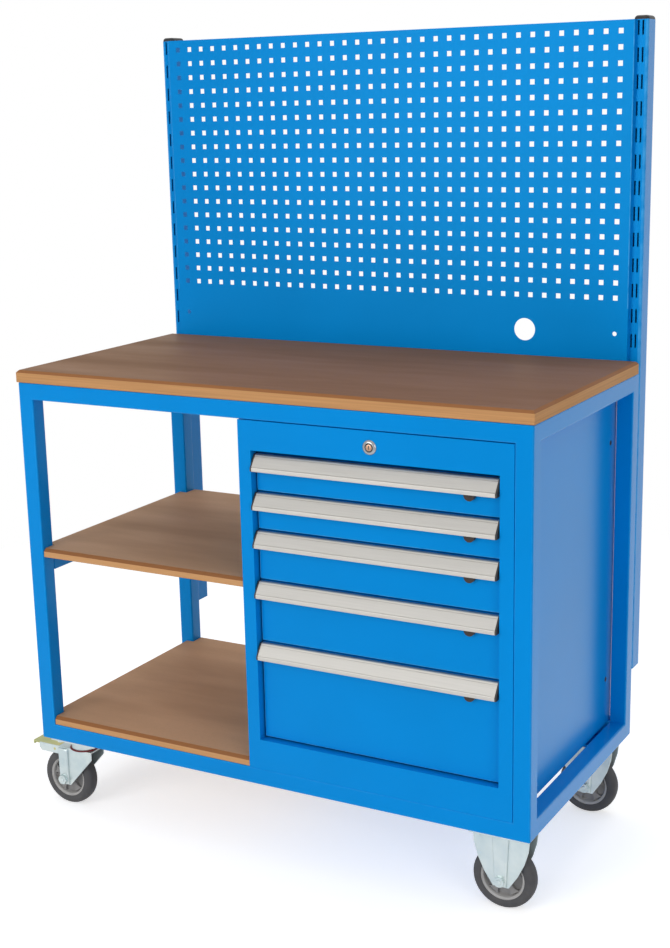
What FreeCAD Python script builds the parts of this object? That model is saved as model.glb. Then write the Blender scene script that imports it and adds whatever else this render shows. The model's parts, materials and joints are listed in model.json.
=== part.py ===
# Mobile workbench: a welded tube frame on casters with a worktop, two shelves, a lockable
# cabinet of five drawers, and a perforated tool panel on two slotted uprights.
# Millimetres, X to the right, Y to the back, Z up.
# The origin is on the floor, under the middle of the bench frame.
import FreeCAD, Part
import os
import re

import Sketcher

doc = FreeCAD.newDocument("mobile_workbench")
sheet = doc.addObject("Spreadsheet::Sheet", "Sizes")

SIZES = {
    # Bench frame of square tube
    "frame_width": 1120,
    "frame_depth": 565,
    "tube_side": 35,
    "tube_wall": 2,
    # Worktop and shelf boards
    "worktop_thickness": 25,
    "worktop_overhang": 2,
    "worktop_chamfer": 5,
    "board_thickness": 18,
    "board_setback": 2,
    "board_gap": 1,
    "shelf_chamfer": 6,
    "board_on_rail": 17.5,
    "shelf_rise": 372,
    "angle_wall": 3,
    # Slotted uprights behind the frame
    "upright_width": 30,
    "upright_depth": 46,
    "upright_wall": 2,
    "upright_foot": 310,
    "slot_length": 27,
    "slot_width": 3.5,
    "slot_pitch": 50,
    "slot_offset": 4.4,
    "slot_first_drop": 15.3,
    "slot_pairs": 13,
    "upright_cap_height": 10,
    # Tool panel and cable panel
    "panel_overlap": 6.5,
    "panel_edge": 4,
    "panel_depth": 12,
    "panel_sheet": 1.5,
    "panel_height": 550,
    "hole_side": 10,
    "hole_pitch": 30,
    "cable_panel_height": 127,
    "cable_panel_gap": 1.5,
    "cable_hole_diameter": 46,
    "cable_hole_place": 318,
    "cable_hole_rise": 75.7,
    "screw_hole_diameter": 9,
    "screw_hole_place": 510,
    # Drawer cabinet
    "cabinet_width": 560,
    "cabinet_inset": 4,
    "cabinet_sheet": 1.5,
    "cabinet_top_gap": 1,
    "cabinet_on_rail": 14.5,
    "front_depth": 20,
    "opening_return": 20,
    "side_strip": 27,
    "lock_strip": 57.5,
    "bottom_strip": 62,
    "post_width": 30,
    "post_setback": 15,
    "side_hole_diameter": 6,
    "side_hole_margin": 33,
    "side_hole_rise": 100,
    # Drawers, from the top one down
    "drawer_pitch_1": 75,
    "drawer_pitch_2": 75,
    "drawer_pitch_3": 100,
    "drawer_pitch_4": 125,
    "drawer_pitch_5": 200,
    "stack_margin": 1.5,
    "stack_headroom": 6.5,
    "drawer_gap": 3,
    "drawer_recess": 15,
    "drawer_side_gap": 3,
    "drawer_front_depth": 18,
    "tray_side_gap": 13,
    "tray_rear_gap": 37,
    "tray_sheet": 1.5,
    "tray_floor_rise": 10,
    "tray_top_drop": 14,
    # Three-part drawer slides
    "slide_rise": 24,
    "slide_setback": 4.5,
    "slide_wall": 2,
    "slide_clearance": 0.3,
    "runner_depth": 6,
    "runner_height": 14,
    # Aluminium handle strips and their end caps
    "handle_height": 31,
    "handle_reach": 23,
    "handle_wall": 2,
    "handle_side_gap": 2,
    "handle_top_depth": 6,
    "handle_back_height": 19,
    "lip_height": 7,
    "lip_return": 8,
    "end_cap_thickness": 3.5,
    # Drawer latches
    "latch_inset": 55.5,
    "latch_width": 21,
    "latch_drop": 14.5,
    "latch_overlap": 8,
    "latch_thickness": 9,
    "latch_keeper_thickness": 3,
    "latch_travel": 4,
    "latch_clearance": 0.3,
    "latch_shank_width": 8,
    "latch_shank_height": 5,
    "latch_keeper_margin": 6,
    # Central lock
    "lock_drop": 30,
    "lock_flange_diameter": 28,
    "lock_flange_thickness": 3,
    "lock_body_diameter": 18,
    "lock_body_length": 30,
    "lock_hole_clearance": 0.1,
    "plug_diameter": 12,
    "plug_length": 20,
    "keyway_width": 2,
    "keyway_height": 8,
    "keyway_depth": 6,
    "shaft_diameter": 10,
    "crank_radius": 12,
    "crank_thickness": 4,
    "crank_width": 14,
    "crank_pin_diameter": 5,
    "crank_slot_clearance": 0.6,
    "lock_bar_width": 40,
    "lock_bar_thickness": 3,
    "lock_bar_back_gap": 8,
    "lock_bar_foot": 60,
    "lock_prong_width": 10,
    "lock_prong_thickness": 4,
    "lock_prong_height": 24,
    "lock_lug_width": 26,
    "lock_lug_thickness": 2,
    "lock_lug_clearance": 2,
    "lock_guide_height": 20,
    "lock_guide_wall": 3,
    "running_fit": 0.05,
    # Casters
    "caster_height": 160,
    "pad_thickness": 5,
    "pad_length": 120,
    "pad_width": 80,
    "caster_end_inset": 70,
    "caster_side_inset": 54.5,
    "caster_plate_length": 115,
    "caster_plate_width": 85,
    "caster_plate_thickness": 3,
    "plate_bolt_length_spacing": 80,
    "plate_bolt_width_spacing": 64,
    "wheel_diameter": 125,
    "tyre_width": 32,
    "tyre_shoulder": 9,
    "tyre_shoulder_curve": 0.3,
    "rim_diameter": 88,
    "rim_flange_depth": 26,
    "rim_rim_thickness": 6,
    "rim_web": 12,
    "hub_diameter": 36,
    "hub_width": 40,
    "hub_side_gap": 0.3,
    "axle_diameter": 10,
    "fork_wall": 3,
    "fork_foot_half": 16,
    "fork_bow": 10,
    "fork_foot_drop": 14,
    "swivel_trail": 42,
    "swivel_front_reach": 32,
    "swivel_rear_reach": 108,
    "swivel_foot_half": 14,
    "ear_height": 18,
    "swivel_gap": 0.3,
    "race_diameter": 58,
    "race_height": 22,
    "king_pin_diameter": 12,
    "king_pin_head_diameter": 24,
    "king_pin_head_height": 4,
    "pedal_pivot_reach": 66,
    "pedal_pivot_drop": 8,
    "pedal_pin_diameter": 6,
    "pedal_length": 63,
    "pedal_width": 34,
    "pedal_thickness": 3,
    "pedal_rise": 7,
    "pedal_lip": 8,
    # Bolts
    "bolt_diameter": 8,
    "bolt_hole_clearance": 0.2,
    "bolt_head_radius": 7,
    "bolt_head_height": 5,
    "axle_head_radius": 9,
    "axle_head_height": 7,
    "upright_bolt_margin": 45,
    "upright_bolt_grip": 5,
}
DRAWERS = range(1, 6)
SIDES = {"left": -1, "right": 1}
ENDS = {"front": -1, "rear": 1}

for row, (alias, number) in enumerate(SIZES.items(), start=1):
    cell = f"B{row}"
    sheet.set(f"A{row}", alias)
    sheet.set(cell, str(number))
    sheet.setAlias(cell, alias)

# Sizes that follow from the driving ones
DRAWER_STACK = " + ".join(f"drawer_pitch_{number}" for number in DRAWERS)
FOLLOWING = {
    "opening_width": "cabinet_width - 2 * side_strip",
    "opening_height": f"{DRAWER_STACK} + stack_margin + stack_headroom",
    "frame_height": "opening_height + lock_strip + bottom_strip + cabinet_top_gap + 2 * tube_side",
    "tray_width": "opening_width - 2 * tray_side_gap",
    "tray_length": "frame_depth - tube_side + cabinet_on_rail - tray_rear_gap"
                   " - drawer_recess - drawer_front_depth",
    "slide_length": "tray_length - slide_setback",
    "upright_top": "caster_height + pad_thickness + frame_height"
                   " + cable_panel_gap + cable_panel_height + panel_height",
    "panel_width": "frame_width - 2 * upright_width + 2 * panel_overlap",
    "hole_columns": "floor((panel_width - 2 * panel_edge) / hole_pitch)",
    "hole_rows": "floor((panel_height - 2 * panel_edge) / hole_pitch)",
}

# Places worked out from the driving sizes, as expressions of the sheet
HALF_WIDTH = "(frame_width / 2)"
HALF_DEPTH = "(frame_depth / 2)"
FRAME_BOTTOM = "(caster_height + pad_thickness)"
FRAME_TOP = f"({FRAME_BOTTOM} + frame_height)"
RAIL_TOP = f"({FRAME_BOTTOM} + tube_side)"
UNDER_TOP_RAIL = f"({FRAME_TOP} - tube_side)"
LEG_INSIDE = f"({HALF_WIDTH} - tube_side)"
LEG_FRONT_INSIDE = f"({HALF_DEPTH} - tube_side)"
PANEL_FRONT = f"({HALF_DEPTH} - panel_depth)"
UPRIGHT_CENTRE = f"({HALF_WIDTH} - upright_width / 2)"
UPRIGHT_REAR = f"({HALF_DEPTH} + upright_depth)"
UPRIGHT_BOLTS = {"low": "upright_foot + upright_bolt_margin", "high": f"{FRAME_TOP} - upright_bolt_margin"}

CABINET_RIGHT = LEG_INSIDE
CABINET_LEFT = f"({CABINET_RIGHT} - cabinet_width)"
CABINET_CENTRE = f"({CABINET_RIGHT} - cabinet_width / 2)"
CABINET_TOP = f"({UNDER_TOP_RAIL} - cabinet_top_gap)"
CABINET_REAR = f"({LEG_FRONT_INSIDE} + cabinet_on_rail)"
SHELL_HALF = "(cabinet_width / 2 - cabinet_inset)"
FRONT_BACK = f"(-{HALF_DEPTH} + front_depth)"
OPENING_BOTTOM = f"({RAIL_TOP} + bottom_strip)"
DRAWER_FACE = f"(-{HALF_DEPTH} + drawer_recess)"
TRAY_FRONT = f"({DRAWER_FACE} + drawer_front_depth)"
TRAY_REAR = f"({TRAY_FRONT} + tray_length)"
DRAWER_HALF = "(opening_width / 2 - drawer_side_gap)"
SLIDE_FRONT = f"({TRAY_REAR} - slide_length)"
HANDLE_HALF = "(opening_width / 2 - handle_side_gap - end_cap_thickness)"
LATCH_X = f"({CABINET_CENTRE} + {HANDLE_HALF} - latch_inset)"
RUNNER_OUT = "(tray_width / 2 + runner_depth)"
MIDDLE_OUT = f"({RUNNER_OUT} + slide_clearance + slide_wall)"
RAIL_OUT = f"({MIDDLE_OUT} + slide_clearance + slide_wall)"
MIDDLE_HALF_HEIGHT = "(runner_height / 2 + slide_clearance + slide_wall)"
RAIL_HALF_HEIGHT = f"({MIDDLE_HALF_HEIGHT} + slide_clearance + slide_wall)"

LOCK_HEIGHT = f"({CABINET_TOP} - lock_drop)"
LOCK_BAR_REAR = f"({CABINET_REAR} - cabinet_sheet - lock_bar_back_gap)"
LOCK_BAR_FRONT = f"({LOCK_BAR_REAR} - lock_bar_thickness)"
LOCK_TRAVEL = "(2 * crank_radius * sin(45))"
LOCK_PIN_DROP = "(crank_radius * sin(45))"

CASTER_X = f"({HALF_WIDTH} - caster_end_inset)"
CASTER_Y = f"({HALF_DEPTH} - caster_side_inset)"
AXLE_HEIGHT = "(wheel_diameter / 2)"
CHEEK_INSIDE = "(hub_width / 2 + hub_side_gap)"
CHEEK_OUTSIDE = f"({CHEEK_INSIDE} + fork_wall)"
PLATE_UNDER = "(caster_height - caster_plate_thickness)"
CROWN_TOP = f"({PLATE_UNDER} - race_height - swivel_gap)"
CROWN_UNDER = f"({CROWN_TOP} - fork_wall)"
PEDAL_PIVOT_HEIGHT = f"({CROWN_TOP} - pedal_pivot_drop)"


def linked(text):
    """The expression with every size named in it pointed at the sheet, or at the sizes that follow."""
    def point(match):
        word = match.group(0)
        if word in FOLLOWING:
            return f"Follow.{word}"
        return f"Sizes.{word}" if word in SIZES else word
    return re.sub(r"[a-z_][a-z0-9_]*", point, text)


follow = doc.addObject("App::VarSet", "Follow")
for alias, expression in FOLLOWING.items():
    follow.addProperty("App::PropertyFloat", alias)
    follow.setExpression(alias, linked(expression))
doc.recompute()


def size(alias):
    """The number that a size holds."""
    return float(getattr(follow, alias) if alias in FOLLOWING else sheet.get(alias))


def bind(thing, **expressions):
    for prop, text in expressions.items():
        thing.setExpression(prop.replace("__", "."), linked(text))
    return thing


def place(thing, x="0", y="0", z="0"):
    return bind(thing, Placement__Base__x=x, Placement__Base__y=y, Placement__Base__z=z)


def box(name, x, y, z):
    """A block between two limits on each axis."""
    block = doc.addObject("Part::Box", name)
    bind(block, Length=f"({x[1]}) - ({x[0]})", Width=f"({y[1]}) - ({y[0]})", Height=f"({z[1]}) - ({z[0]})")
    return place(block, x[0], y[0], z[0])


def turned_to(thing, axis):
    """Lay a primitive that stands along Z along another axis."""
    turn = {"x": FreeCAD.Rotation(FreeCAD.Vector(0, 1, 0), 90),
            "y": FreeCAD.Rotation(FreeCAD.Vector(1, 0, 0), -90),
            "z": FreeCAD.Rotation()}[axis]
    thing.Placement = FreeCAD.Placement(FreeCAD.Vector(), turn)
    return thing


def along(thing, axis, centre, start):
    """Place a primitive by its start on its own axis and its centre across it."""
    spot = dict(zip([letter for letter in "xyz" if letter != axis], centre))
    spot[axis] = start
    return place(turned_to(thing, axis), **spot)


def rod(name, axis, diameter, centre, limits):
    piece = doc.addObject("Part::Cylinder", name)
    bind(piece, Radius=f"({diameter}) / 2", Height=f"({limits[1]}) - ({limits[0]})")
    return along(piece, axis, centre, limits[0])


def hexagon(name, axis, radius, centre, limits):
    piece = doc.addObject("Part::Prism", name)
    piece.Polygon = 6
    bind(piece, Circumradius=radius, Height=f"({limits[1]}) - ({limits[0]})")
    return along(piece, axis, centre, limits[0])


def fuse(name, pieces):
    joined = doc.addObject("Part::MultiFuse", name)
    joined.Shapes = pieces
    return joined


def group(name, pieces):
    bundle = doc.addObject("Part::Compound", name)
    bundle.Links = pieces
    return bundle


def cut(name, base, tools):
    carved = doc.addObject("Part::Cut", name)
    carved.Base = base
    carved.Tool = tools[0] if len(tools) == 1 else group(f"{name}_tools", tools)
    return carved


def outline_body(name, plane, points):
    """A body with one closed sketch, each corner held at two expressions from the origin."""
    body = doc.addObject("PartDesign::Body", name)
    sketch = body.newObject("Sketcher::SketchObject", f"{name}_outline")
    support = [feature for feature in body.Origin.OriginFeatures if feature.Role == plane][0]
    sketch.AttachmentSupport = [(support, "")]
    sketch.MapMode = "FlatFace"
    count = len(points)
    for corner in range(count):
        following = (corner + 1) % count
        start = FreeCAD.Vector(corner, corner * corner, 0)
        end = FreeCAD.Vector(following, following * following, 0)
        sketch.addGeometry(Part.LineSegment(start, end))
    for corner in range(count):
        sketch.addConstraint(Sketcher.Constraint("Coincident", corner, 2, (corner + 1) % count, 1))
    for corner, point in enumerate(points):
        for kind, text in zip(("DistanceX", "DistanceY"), point):
            held = sketch.addConstraint(Sketcher.Constraint(kind, -1, 1, corner, 1, corner + 1.0))
            sketch.setExpression(f"Constraints[{held}]", linked(text))
    return body, sketch


def extruded(name, plane, points, length):
    body, sketch = outline_body(name, plane, points)
    pad = body.newObject("PartDesign::Pad", f"{name}_pad")
    pad.Profile = sketch
    bind(pad, Length=length)
    return body


def revolved(name, points):
    """A round body about Y: points are (place along the axle, radius)."""
    body, sketch = outline_body(name, "YZ_Plane", points)
    spin = body.newObject("PartDesign::Revolution", f"{name}_turn")
    spin.Profile = sketch
    spin.ReferenceAxis = (sketch, ["H_Axis"])
    spin.Angle = 360
    return body


NODES = []


def node(piece, label):
    """Name one sub-part of the bench."""
    piece.Label = label
    NODES.append(piece)
    return piece


def mirrored(sign, low, high):
    """Limits of a piece on the plus side, or the same piece on the minus side."""
    return (low, high) if sign > 0 else (f"-({high})", f"-({low})")


def signed(sign, text):
    return f"{sign} * ({text})"


def bench_frame():
    legs = []
    for side, sx in SIDES.items():
        for end, sy in ENDS.items():
            name = f"leg_{end}_{side}"
            outer = box(f"{name}_outer", mirrored(sx, LEG_INSIDE, HALF_WIDTH),
                        mirrored(sy, LEG_FRONT_INSIDE, HALF_DEPTH), (FRAME_BOTTOM, FRAME_TOP))
            inner = box(f"{name}_inner",
                        mirrored(sx, f"{LEG_INSIDE} + tube_wall", f"{HALF_WIDTH} - tube_wall"),
                        mirrored(sy, f"{LEG_FRONT_INSIDE} + tube_wall", f"{HALF_DEPTH} - tube_wall"),
                        (FRAME_BOTTOM, FRAME_TOP))
            tools = [inner]
            if end == "rear":
                tools += [upright_bolt_hole(f"{name}_{place_name}", sx, height)
                          for place_name, height in UPRIGHT_BOLTS.items()]
            legs.append(cut(name, outer, tools))
    node(group("corner_legs", legs), "corner_legs")

    rails = []
    levels = {"bottom": (FRAME_BOTTOM, RAIL_TOP), "top": (UNDER_TOP_RAIL, FRAME_TOP)}
    for level, (low, high) in levels.items():
        bore = (f"{low} + tube_wall", f"{high} - tube_wall")
        for end, sy in ENDS.items():
            name = f"rail_{level}_{end}"
            length = (f"-{LEG_INSIDE}", LEG_INSIDE)
            outer = box(f"{name}_outer", length, mirrored(sy, LEG_FRONT_INSIDE, HALF_DEPTH), (low, high))
            inner = box(f"{name}_inner", length,
                        mirrored(sy, f"{LEG_FRONT_INSIDE} + tube_wall", f"{HALF_DEPTH} - tube_wall"), bore)
            rails.append(cut(name, outer, [inner]))
        for side, sx in SIDES.items():
            name = f"rail_{level}_{side}"
            length = (f"-{LEG_FRONT_INSIDE}", LEG_FRONT_INSIDE)
            outer = box(f"{name}_outer", mirrored(sx, LEG_INSIDE, HALF_WIDTH), length, (low, high))
            inner = box(f"{name}_inner",
                        mirrored(sx, f"{LEG_INSIDE} + tube_wall", f"{HALF_WIDTH} - tube_wall"), length, bore)
            rails.append(cut(name, outer, [inner]))
    node(group("frame_rails", rails), "frame_rails")


def upright_bolt_hole(name, sx, height):
    return rod(f"{name}_hole", "y", "bolt_diameter + 2 * bolt_hole_clearance",
               (signed(sx, UPRIGHT_CENTRE), height),
               (f"{LEG_FRONT_INSIDE} + tube_side / 2", f"{UPRIGHT_REAR} + bolt_head_height"))


def bevelled(body, name, pick, amount):
    """Bevel one face or edge of a body, picked by its place."""
    doc.recompute()
    last = body.Tip
    bevel = body.newObject("PartDesign::Chamfer", name)
    bevel.Base = (last, [pick(last.Shape)])
    bind(bevel, Size=amount)


def top_face(shape):
    heights = [face.CenterOfMass.z for face in shape.Faces]
    return f"Face{heights.index(max(heights)) + 1}"


def front_top_edge(shape):
    places = [edge.CenterOfMass.z - edge.CenterOfMass.y for edge in shape.Edges]
    return f"Edge{places.index(max(places)) + 1}"


def boards():
    half = f"({HALF_WIDTH} + worktop_overhang)"
    depth = f"({HALF_DEPTH} + worktop_overhang + {PANEL_FRONT})"
    corners = [("0", "0"), (f"2 * {half}", "0"), (f"2 * {half}", depth), ("0", depth)]
    top = extruded("worktop_body", "XY_Plane", corners, "worktop_thickness")
    place(top, f"-{half}", f"-{HALF_DEPTH} - worktop_overhang", FRAME_TOP)
    bevelled(top, "worktop_bevel", top_face, "worktop_chamfer")
    node(top, "worktop")

    # A shelf board is notched round the two left legs and laps onto the side rail between them
    inner = f"({LEG_INSIDE} - board_gap)"
    lap = "(board_on_rail + board_gap)"
    long_side = f"({inner} + {CABINET_LEFT} - board_gap)"
    full = "(frame_depth - 2 * board_setback)"
    notch = "(tube_side - board_setback + board_gap)"
    corners = [(lap, "0"), (f"{lap} + {long_side}", "0"), (f"{lap} + {long_side}", full), (lap, full),
               (lap, f"{full} - {notch}"), ("0", f"{full} - {notch}"), ("0", notch), (lap, notch)]
    for label, height in (("middle_shelf", f"{RAIL_TOP} + shelf_rise"), ("lower_shelf", RAIL_TOP)):
        shelf = extruded(f"{label}_body", "XY_Plane", corners, "board_thickness")
        place(shelf, f"-{inner} - {lap}", f"-{HALF_DEPTH} + board_setback", height)
        bevelled(shelf, f"{label}_bevel", front_top_edge, "shelf_chamfer")
        node(shelf, label)

    # The middle shelf lies on a side rail between the left legs and on an angle on the cabinet
    under = f"({RAIL_TOP} + shelf_rise)"
    low = f"({under} - tube_side)"
    span = (f"-{LEG_FRONT_INSIDE}", LEG_FRONT_INSIDE)
    side_outer = box("shelf_side_outer", (f"-{HALF_WIDTH}", f"-{LEG_INSIDE}"), span, (low, under))
    side_inner = box("shelf_side_inner", (f"-{HALF_WIDTH} + tube_wall", f"-{LEG_INSIDE} - tube_wall"), span,
                     (f"{low} + tube_wall", f"{under} - tube_wall"))
    shell_left = f"({CABINET_CENTRE} - {SHELL_HALF})"
    run = (f"{FRONT_BACK} + board_gap", LEG_FRONT_INSIDE)
    angle_outer = box("shelf_angle_outer", (f"{shell_left} - tube_side", shell_left), run, (low, under))
    angle_inner = box("shelf_angle_inner", (f"{shell_left} - tube_side", f"{shell_left} - angle_wall"), run,
                      (low, f"{under} - angle_wall"))
    rails = [cut("shelf_side_rail", side_outer, [side_inner]), cut("shelf_angle", angle_outer, [angle_inner])]
    node(group("shelf_rails", rails), "shelf_rails")


def upright_shape(sx):
    """A rectangular tube with twin slots down its front face and two bolt holes through it."""
    width, depth, wall = size("upright_width"), size("upright_depth"), size("upright_wall")
    height = size("upright_top") - size("upright_foot")
    front = size("frame_depth") / 2
    centre = sx * (size("frame_width") / 2 - width / 2)
    base = FreeCAD.Vector(centre - width / 2, front, size("upright_foot"))
    tube = Part.makeBox(width, depth, height, base)
    bore = Part.makeBox(width - 2 * wall, depth - 2 * wall, height, base + FreeCAD.Vector(wall, wall, 0))
    tools = [bore]
    for pair in range(int(size("slot_pairs"))):
        middle = size("upright_top") - size("slot_first_drop") - pair * size("slot_pitch")
        for step in (-1, 1):
            corner = FreeCAD.Vector(centre + step * size("slot_offset") - size("slot_width") / 2,
                                    front - wall, middle - size("slot_length") / 2)
            tools.append(Part.makeBox(size("slot_width"), 3 * wall, size("slot_length"), corner))
    radius = size("bolt_diameter") / 2 + size("bolt_hole_clearance")
    frame_top = size("caster_height") + size("pad_thickness") + size("frame_height")
    margin = size("upright_bolt_margin")
    for middle in (size("upright_foot") + margin, frame_top - margin):
        tools.append(Part.makeCylinder(radius, 2 * depth, FreeCAD.Vector(centre, front - wall, middle),
                                       FreeCAD.Vector(0, 1, 0)))
    return tube.cut(tools)


def perforated_shape():
    """A folded sheet with a square-hole grid; the flanges reach back to the uprights."""
    width, height, depth = size("panel_width"), size("panel_height"), size("panel_depth")
    sheet_wall, side, pitch = size("panel_sheet"), size("hole_side"), size("hole_pitch")
    columns, rows = int(size("hole_columns")), int(size("hole_rows"))
    front = size("frame_depth") / 2 - depth
    bottom = size("upright_top") - height

    def rectangle(x0, x1, z0, z1, y):
        corners = [FreeCAD.Vector(x0, y, z0), FreeCAD.Vector(x1, y, z0), FreeCAD.Vector(x1, y, z1),
                   FreeCAD.Vector(x0, y, z1), FreeCAD.Vector(x0, y, z0)]
        return Part.makePolygon(corners)

    left, right, top = -width / 2, width / 2, bottom + height
    wires = [rectangle(left, right, bottom, top, front)]
    first_x = -(columns - 1) * pitch / 2
    first_z = bottom + height / 2 - (rows - 1) * pitch / 2
    for column in range(columns):
        for row in range(rows):
            x = first_x + column * pitch - side / 2
            z = first_z + row * pitch - side / 2
            wires.append(rectangle(x, x + side, z, z + side, front))
    face = Part.makeFace(wires, "Part::FaceMakerBullseye")
    skin = face.extrude(FreeCAD.Vector(0, sheet_wall, 0))
    ring = Part.makeFace([rectangle(left, right, bottom, top, front + sheet_wall),
                          rectangle(left + sheet_wall, right - sheet_wall, bottom + sheet_wall,
                                    top - sheet_wall, front + sheet_wall)], "Part::FaceMakerBullseye")
    flanges = ring.extrude(FreeCAD.Vector(0, depth - sheet_wall, 0))
    return skin.fuse(flanges)


def coded(name, shape, label):
    feature = doc.addObject("Part::Feature", name)
    feature.Shape = shape
    feature.Placement = FreeCAD.Placement()
    return node(feature, label)


def back_wall():
    for side, sx in SIDES.items():
        coded(f"upright_{side}_tube", upright_shape(sx), f"upright_{side}")
    caps = []
    for side, sx in SIDES.items():
        inner = f"({HALF_WIDTH} - upright_width)"
        caps.append(box(f"upright_cap_{side}", mirrored(sx, inner, HALF_WIDTH), (HALF_DEPTH, UPRIGHT_REAR),
                        ("upright_top", "upright_top + upright_cap_height")))
    node(group("upright_caps_pair", caps), "upright_caps")
    coded("perforated_sheet", perforated_shape(), "perforated_panel")

    top = "(upright_top - panel_height)"
    bottom = f"({top} - cable_panel_height)"
    skin = box("cable_skin", ("-panel_width / 2", "panel_width / 2"), (PANEL_FRONT, HALF_DEPTH),
               (bottom, top))
    hollow = box("cable_hollow", ("-panel_width / 2 + panel_sheet", "panel_width / 2 - panel_sheet"),
                 (f"{PANEL_FRONT} + panel_sheet", HALF_DEPTH),
                 (f"{bottom} + panel_sheet", f"{top} - panel_sheet"))
    through = (f"{PANEL_FRONT} - panel_sheet", f"{PANEL_FRONT} + 2 * panel_sheet")
    height = f"{bottom} + cable_hole_rise"
    holes = [rod("cable_hole", "y", "cable_hole_diameter", ("cable_hole_place", height), through)]
    holes += [rod(f"screw_hole_{side}", "y", "screw_hole_diameter",
                  (signed(sx, "screw_hole_place"), height), through) for side, sx in SIDES.items()]
    node(cut("cable_panel_sheet", skin, [hollow] + holes), "cable_panel")


def drawer_levels(number):
    """Lower and upper edge of one drawer front."""
    below = [f"drawer_pitch_{other}" for other in DRAWERS if other > number]
    low = " + ".join([OPENING_BOTTOM, "stack_margin"] + below)
    return f"({low} + drawer_gap / 2)", f"({low} + drawer_pitch_{number} - drawer_gap / 2)"


def slide_height(number):
    return f"({drawer_levels(number)[0]} + tray_floor_rise + slide_rise)"


def at_cabinet(text):
    """A place across the cabinet, measured from its middle."""
    return f"({CABINET_CENTRE} + ({text}))"


def across(low, high):
    return at_cabinet(low), at_cabinet(high)


def across_side(sx, low, high):
    low, high = mirrored(sx, low, high)
    return across(low, high)


def cabinet_front(front):
    """A folded front sheet, with returns round its outside and round the drawer opening."""
    wall, half = "cabinet_sheet", "cabinet_width / 2"
    opening_half, opening_top = "opening_width / 2", f"({OPENING_BOTTOM} + opening_height)"
    slab = box("front_slab", across(f"-{half}", half), (front, FRONT_BACK), (RAIL_TOP, CABINET_TOP))
    hole = box("front_opening", across(f"-{opening_half}", opening_half), (front, FRONT_BACK),
               (OPENING_BOTTOM, opening_top))
    pocket_full = box("front_pocket_full", across(f"-{half} + {wall}", f"{half} - {wall}"),
                      (f"{front} + {wall}", FRONT_BACK), (f"{RAIL_TOP} + {wall}", f"{CABINET_TOP} - {wall}"))
    pocket_core = box("front_pocket_core", across(f"-{opening_half} - {wall}", f"{opening_half} + {wall}"),
                      (front, f"{front} + opening_return"),
                      (f"{OPENING_BOTTOM} - {wall}", f"{opening_top} + {wall}"))
    pocket = cut("front_pocket", pocket_full, [pocket_core])
    lock_hole = rod("front_lock_hole", "y", "lock_body_diameter + 2 * lock_hole_clearance",
                    (CABINET_CENTRE, LOCK_HEIGHT), (front, f"{front} + 2 * {wall}"))
    node(cut("front_sheet", slab, [hole, pocket, lock_hole]), "cabinet_front_frame")


def cabinet_posts(low, high):
    """Hollow posts inside the cabinet sides, which carry the drawer rails."""
    wall, inside = "cabinet_sheet", f"({SHELL_HALF} - cabinet_sheet)"
    starts = {"front": f"({SLIDE_FRONT} + post_setback)",
              "rear": f"({TRAY_REAR} - post_setback - post_width)"}
    posts = []
    for side, sx in SIDES.items():
        for end, start in starts.items():
            name = f"post_{end}_{side}"
            body = box(f"{name}_outer", across_side(sx, RAIL_OUT, inside), (start, f"{start} + post_width"),
                       (low, high))
            hollow = box(f"{name}_inner", across_side(sx, f"{RAIL_OUT} + {wall}", inside),
                         (f"{start} + {wall}", f"{start} + post_width - {wall}"), (low, high))
            posts.append(cut(name, body, [hollow]))
    return posts


def cabinet():
    wall, front = "cabinet_sheet", f"-{HALF_DEPTH}"
    cabinet_front(front)
    low, high = f"{RAIL_TOP} + {wall}", f"{CABINET_TOP} - {wall}"
    wide = across(f"-{SHELL_HALF}", SHELL_HALF)
    inside = f"({SHELL_HALF} - {wall})"
    walls = [box(f"shell_{side}", across_side(sx, inside, SHELL_HALF), (f"{front} + {wall}", CABINET_REAR),
                 (low, high)) for side, sx in SIDES.items()]
    back = box("shell_back", wide, (f"{CABINET_REAR} - {wall}", CABINET_REAR), (low, high))
    shell = fuse("shell_walls", walls + [back] + cabinet_posts(low, high))
    holes = [rod("shell_lock_bearing", "y", "shaft_diameter + 2 * running_fit", (CABINET_CENTRE, LOCK_HEIGHT),
                 (f"{CABINET_REAR} - 2 * {wall}", CABINET_REAR))]
    levels = {"low": f"{RAIL_TOP} + side_hole_rise", "high": f"{CABINET_TOP} - side_hole_rise"}
    for side, sx in SIDES.items():
        for level, height in levels.items():
            holes.append(rod(f"shell_hole_{level}_{side}", "x", "side_hole_diameter",
                             (f"{CABINET_REAR} - side_hole_margin", height),
                             across_side(sx, inside, SHELL_HALF)))
    node(cut("shell_sheet", shell, holes), "cabinet_shell")

    reach = (FRONT_BACK, CABINET_REAR)
    ends = [box("cabinet_top_sheet", wide, reach, (high, CABINET_TOP)),
            box("cabinet_floor_sheet", wide, reach, (RAIL_TOP, low))]
    node(group("cabinet_end_pair", ends), "cabinet_top_and_floor")

    rails = []
    for number in DRAWERS:
        for side, sx in SIDES.items():
            rails.append(channel(f"rail_{number}_{side}", sx, slide_height(number), RAIL_OUT,
                                 RAIL_HALF_HEIGHT))
    node(group("cabinet_rails_set", rails), "cabinet_rails")


def channel(name, sx, height, outside, half_height):
    """A slide member: a channel that opens towards the drawer."""
    near = "(tray_width / 2 + slide_clearance)"
    outer = box(f"{name}_outer", across_side(sx, near, outside), (SLIDE_FRONT, TRAY_REAR),
                (f"{height} - {half_height}", f"{height} + {half_height}"))
    inner = box(f"{name}_inner", across_side(sx, near, f"{outside} - slide_wall"), (SLIDE_FRONT, TRAY_REAR),
                (f"{height} - {half_height} + slide_wall", f"{height} + {half_height} - slide_wall"))
    return cut(name, outer, [inner])


def latch_shank_limits(number):
    """Lower and upper edge of the latch shank, inside the handle's finger gap."""
    middle = f"({drawer_levels(number)[1]} - handle_height)"
    return f"({middle} - latch_shank_height / 2)", f"({middle} + latch_shank_height / 2)"


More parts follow.
